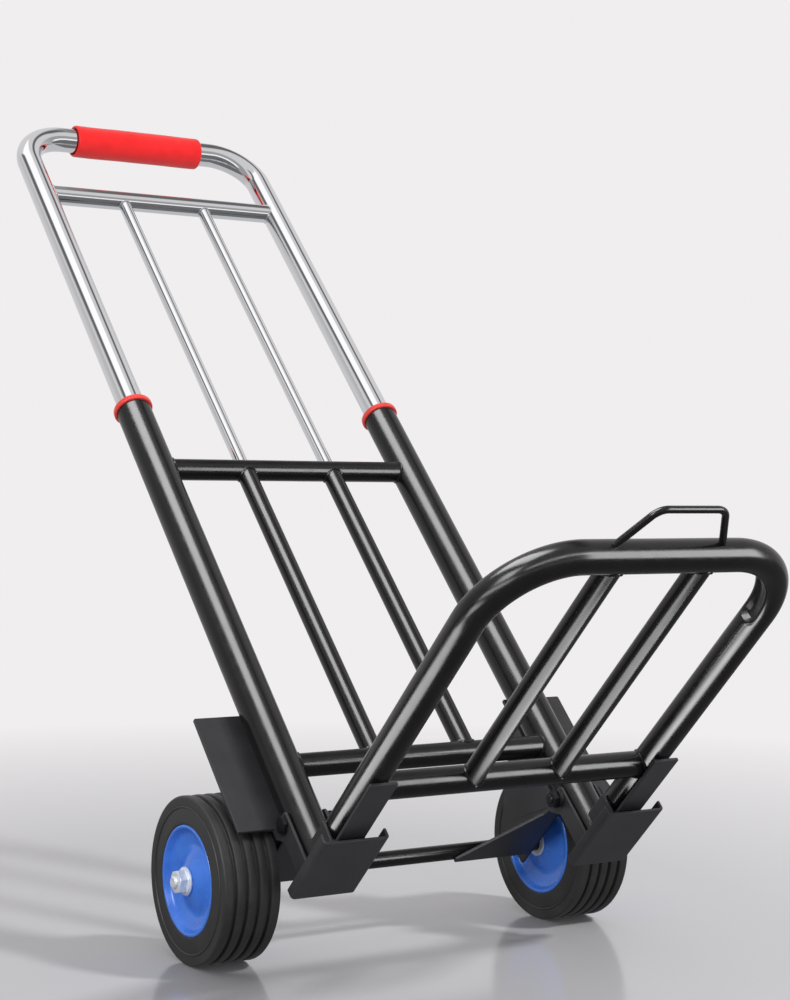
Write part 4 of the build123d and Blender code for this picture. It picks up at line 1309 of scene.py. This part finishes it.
def room():
    """White wall behind and a dimmer room in front.

    The chrome sees a drawn room: its strength climbs from ROOM to WALL_SIDE towards the wall and turns to
    CEILING overhead. A white box shines there between two dark flags, and a white strip stands in front.
    """
    world = bpy.data.worlds.new("studio")
    bpy.context.scene.world = world
    world.use_nodes = True
    tree = world.node_tree
    tree.nodes.clear()
    path = add(tree, "ShaderNodeLightPath").outputs
    way = add(tree, "ShaderNodeTexCoord").outputs["Generated"]
    x, y, z = add(tree, "ShaderNodeSeparateXYZ", {"Vector": way}).outputs
    wallward = add(tree, "ShaderNodeVectorMath", {0: way, 1: WALL_WAY}, operation="DOT_PRODUCT")
    inputs = {"Value": wallward, **between(*WALL_TURN), "To Min": ROOM, "To Max": WALL_SIDE}
    sides = add(tree, "ShaderNodeMapRange", inputs)
    inputs = {"Value": z, **between(*CEILING_TURN), "To Min": sides, "To Max": CEILING}
    strength = add(tree, "ShaderNodeMapRange", inputs)
    above = add(tree, "ShaderNodeMapRange", {"Value": z, **between(*OVERHEAD_TURN)})
    overhead = band(tree, y, FLAGS_Y, above, FLAGS_SOFT)
    for limits in FLAGS_X:
        flag = band(tree, x, limits, overhead)
        shade = add(tree, "ShaderNodeMapRange", {"Value": flag, "To Min": 1.0, "To Max": FLAG_SHADE})
        strength = add(tree, "ShaderNodeMath", {0: strength, 1: shade}, operation="MULTIPLY")
    box = band(tree, x, BOX_X, band(tree, y, BOX_Y, above))
    inputs = {"Value": y, **between(*STRIP_TURN), "To Min": 1.0, "To Max": 0.0}
    strip = band(tree, z, STRIP_Z, add(tree, "ShaderNodeMapRange", inputs))
    for light, gain in ((box, BOX_GAIN), (strip, STRIP_GAIN)):
        strength = add(tree, "ShaderNodeMath", {0: light, 1: gain, 2: strength}, operation="MULTIPLY_ADD")
    wall, mirror, fill = [
        add(tree, "ShaderNodeBackground", {"Color": linear(WALL), "Strength": level})
        for level in (1.0, strength, FILL)
    ]
    inputs = {0: path["Is Camera Ray"], 1: shiny_or(tree, path, fill, mirror), 2: wall}
    seen = add(tree, "ShaderNodeMixShader", inputs)
    add(tree, "ShaderNodeOutputWorld", {"Surface": seen})


def lamp(name, place, target, size, radiance, receivers, spread=180.0, mirrored=True):
    """Rectangular softbox that lights a collection; its power is radiance * pi * area.

    The boxes for the tubes only add gloss, so they light no matt surface.
    """
    data = bpy.data.lights.new(name, "AREA")
    data.shape = "RECTANGLE"
    data.size = size[0]
    data.size_y = size[1]
    data.energy = radiance * pi * size[0] * size[1]
    data.spread = radians(spread)
    made = bpy.data.objects.new(name, data)
    made.location = place
    made.rotation_mode = "QUATERNION"
    made.rotation_quaternion = (Vector(target) - Vector(place)).to_track_quat("-Z", "Y")
    made.visible_camera = False
    made.visible_diffuse = receivers in UNCHROMED
    made.visible_glossy = mirrored
    made.light_linking.receiver_collection = receivers
    bpy.context.scene.collection.objects.link(made)


def lamps():
    """Softboxes: each one's place, what it faces, its width and height, its radiance and what it lights."""
    lamp("key", (2.2, -2.5, 3.4), (0.0, 0.0, 0.3), (0.5, 0.5), 115.0, lit, mirrored=False)
    lamp("left", (-1.7, -1.1, 1.3), (0.0, 0.0, 0.3), (0.8, 0.8), 13.0, pieces_lit)
    lamp("low_front", (-0.2, -2.6, 0.35), (0.0, -0.2, 0.25), (1.2, 0.5), 8.5, front_lit, mirrored=False)
    lamp("overhead", (-0.592, -0.028, 1.8816), (0.0, 0.1, 0.4), (1.6, 0.9), 14.0, glossed)
    lamp("front", (1.1, -1.55, 0.64), (0.0, -0.4, 0.4), (0.9, 0.95), 12.0, glossed)
    lamp("bend_front", (-0.1, -2.1, 1.2), (-0.06, -0.44, 0.38), (2.4, 0.3), 9.0, hairpin_lit)
    lamp("bend_side", (-1.6, -1.15, 0.35), (-0.09, -0.42, 0.36), (1.3, 0.36), 9.0, hairpin_lit)
    lamp("floor_right", (0.0, -0.32, 0.08), (0.178, -0.32, 0.344), (0.24, 0.16), 2.0, hairpin_lit, 60.0)
    on_floor = (
        ("bend_floor", -1.05, -0.5, (0.8, 0.34), 9.0, hairpin_lit),
        ("floor_left", -0.44, -0.16, (0.34, 0.4), 11.0, hairpin_lit),
        ("floor_middle", -0.08, -0.37, (0.34, 0.18), 9.0, rods_lit),
    )
    for name, x, y, size, radiance, receivers in on_floor:
        lamp(name, (x, y, LAMP_LIFT), (x, y, 1.0), size, radiance, receivers)


def ground():
    """Pale, slightly glossy floor that turns into the room's white all round the truck."""
    reach = FLOOR_REACH
    mesh = bpy.data.meshes.new("floor")
    corners = [(-reach, -reach, 0.0), (reach, -reach, 0.0), (reach, reach, 0.0), (-reach, reach, 0.0)]
    mesh.from_pydata(corners, [], [(0, 1, 2, 3)])
    made, tree, place = blank("pale_floor")
    path = add(tree, "ShaderNodeLightPath").outputs
    away = add(tree, "ShaderNodeVectorMath", {0: place}, operation="LENGTH")
    edge = between(FLOOR_EDGE - FLOOR_SOFT, FLOOR_EDGE + FLOOR_SOFT)
    fade = add(tree, "ShaderNodeMapRange", {"Value": away, **edge})
    share = add(tree, "ShaderNodeMath", {0: fade, 1: path["Is Camera Ray"]}, operation="MULTIPLY")
    wear = add(tree, "ShaderNodeTexNoise", {"Vector": place, "Scale": per(160.0), "Detail": 4.0})
    polish = add(tree, "ShaderNodeMapRange", {"Value": wear, **NOISE_RANGE, "To Min": 0.12, "To Max": 0.2})
    inputs = {"Base Color": linear(FLOOR), "Roughness": polish, "IOR": 1.3}
    near = add(tree, "ShaderNodeBsdfPrincipled", inputs)
    white = add(tree, "ShaderNodeEmission", {"Color": linear(WALL), "Strength": 1.0})
    seen = add(tree, "ShaderNodeMixShader", {0: share, 1: near, 2: white})
    # Painted reflection: the shiny pieces see the floor as a glow, dim in front and bright towards the wall,
    # not as a lit surface
    wallward = add(tree, "ShaderNodeVectorMath", {0: place, 1: WALL_WAY}, operation="DOT_PRODUCT")
    edge = between(WALL_DISTANCE - WALL_SOFT, WALL_DISTANCE + WALL_SOFT)
    glow = add(tree, "ShaderNodeMapRange", {"Value": wallward, **edge, "To Min": FLOOR_DIM})
    mirrored = add(tree, "ShaderNodeEmission", {"Color": linear(FLOOR_MIRRORED), "Strength": glow})
    add(tree, "ShaderNodeOutputMaterial", {"Surface": shiny_or(tree, path, seen, mirrored)})
    mesh.materials.append(made)
    shown = bpy.data.objects.new("floor", mesh)
    bpy.context.scene.collection.objects.link(shown)
    lit.objects.link(shown)
    front_lit.objects.link(shown)


main_tubes()
frame_bars()
collars()
brackets()
axle()
pivots()
wheels()
handle()
grip()
platform()
hinges()
kept()
camera()
room()
lamps()
ground()
bpy.context.scene.view_settings.view_transform = "Standard"
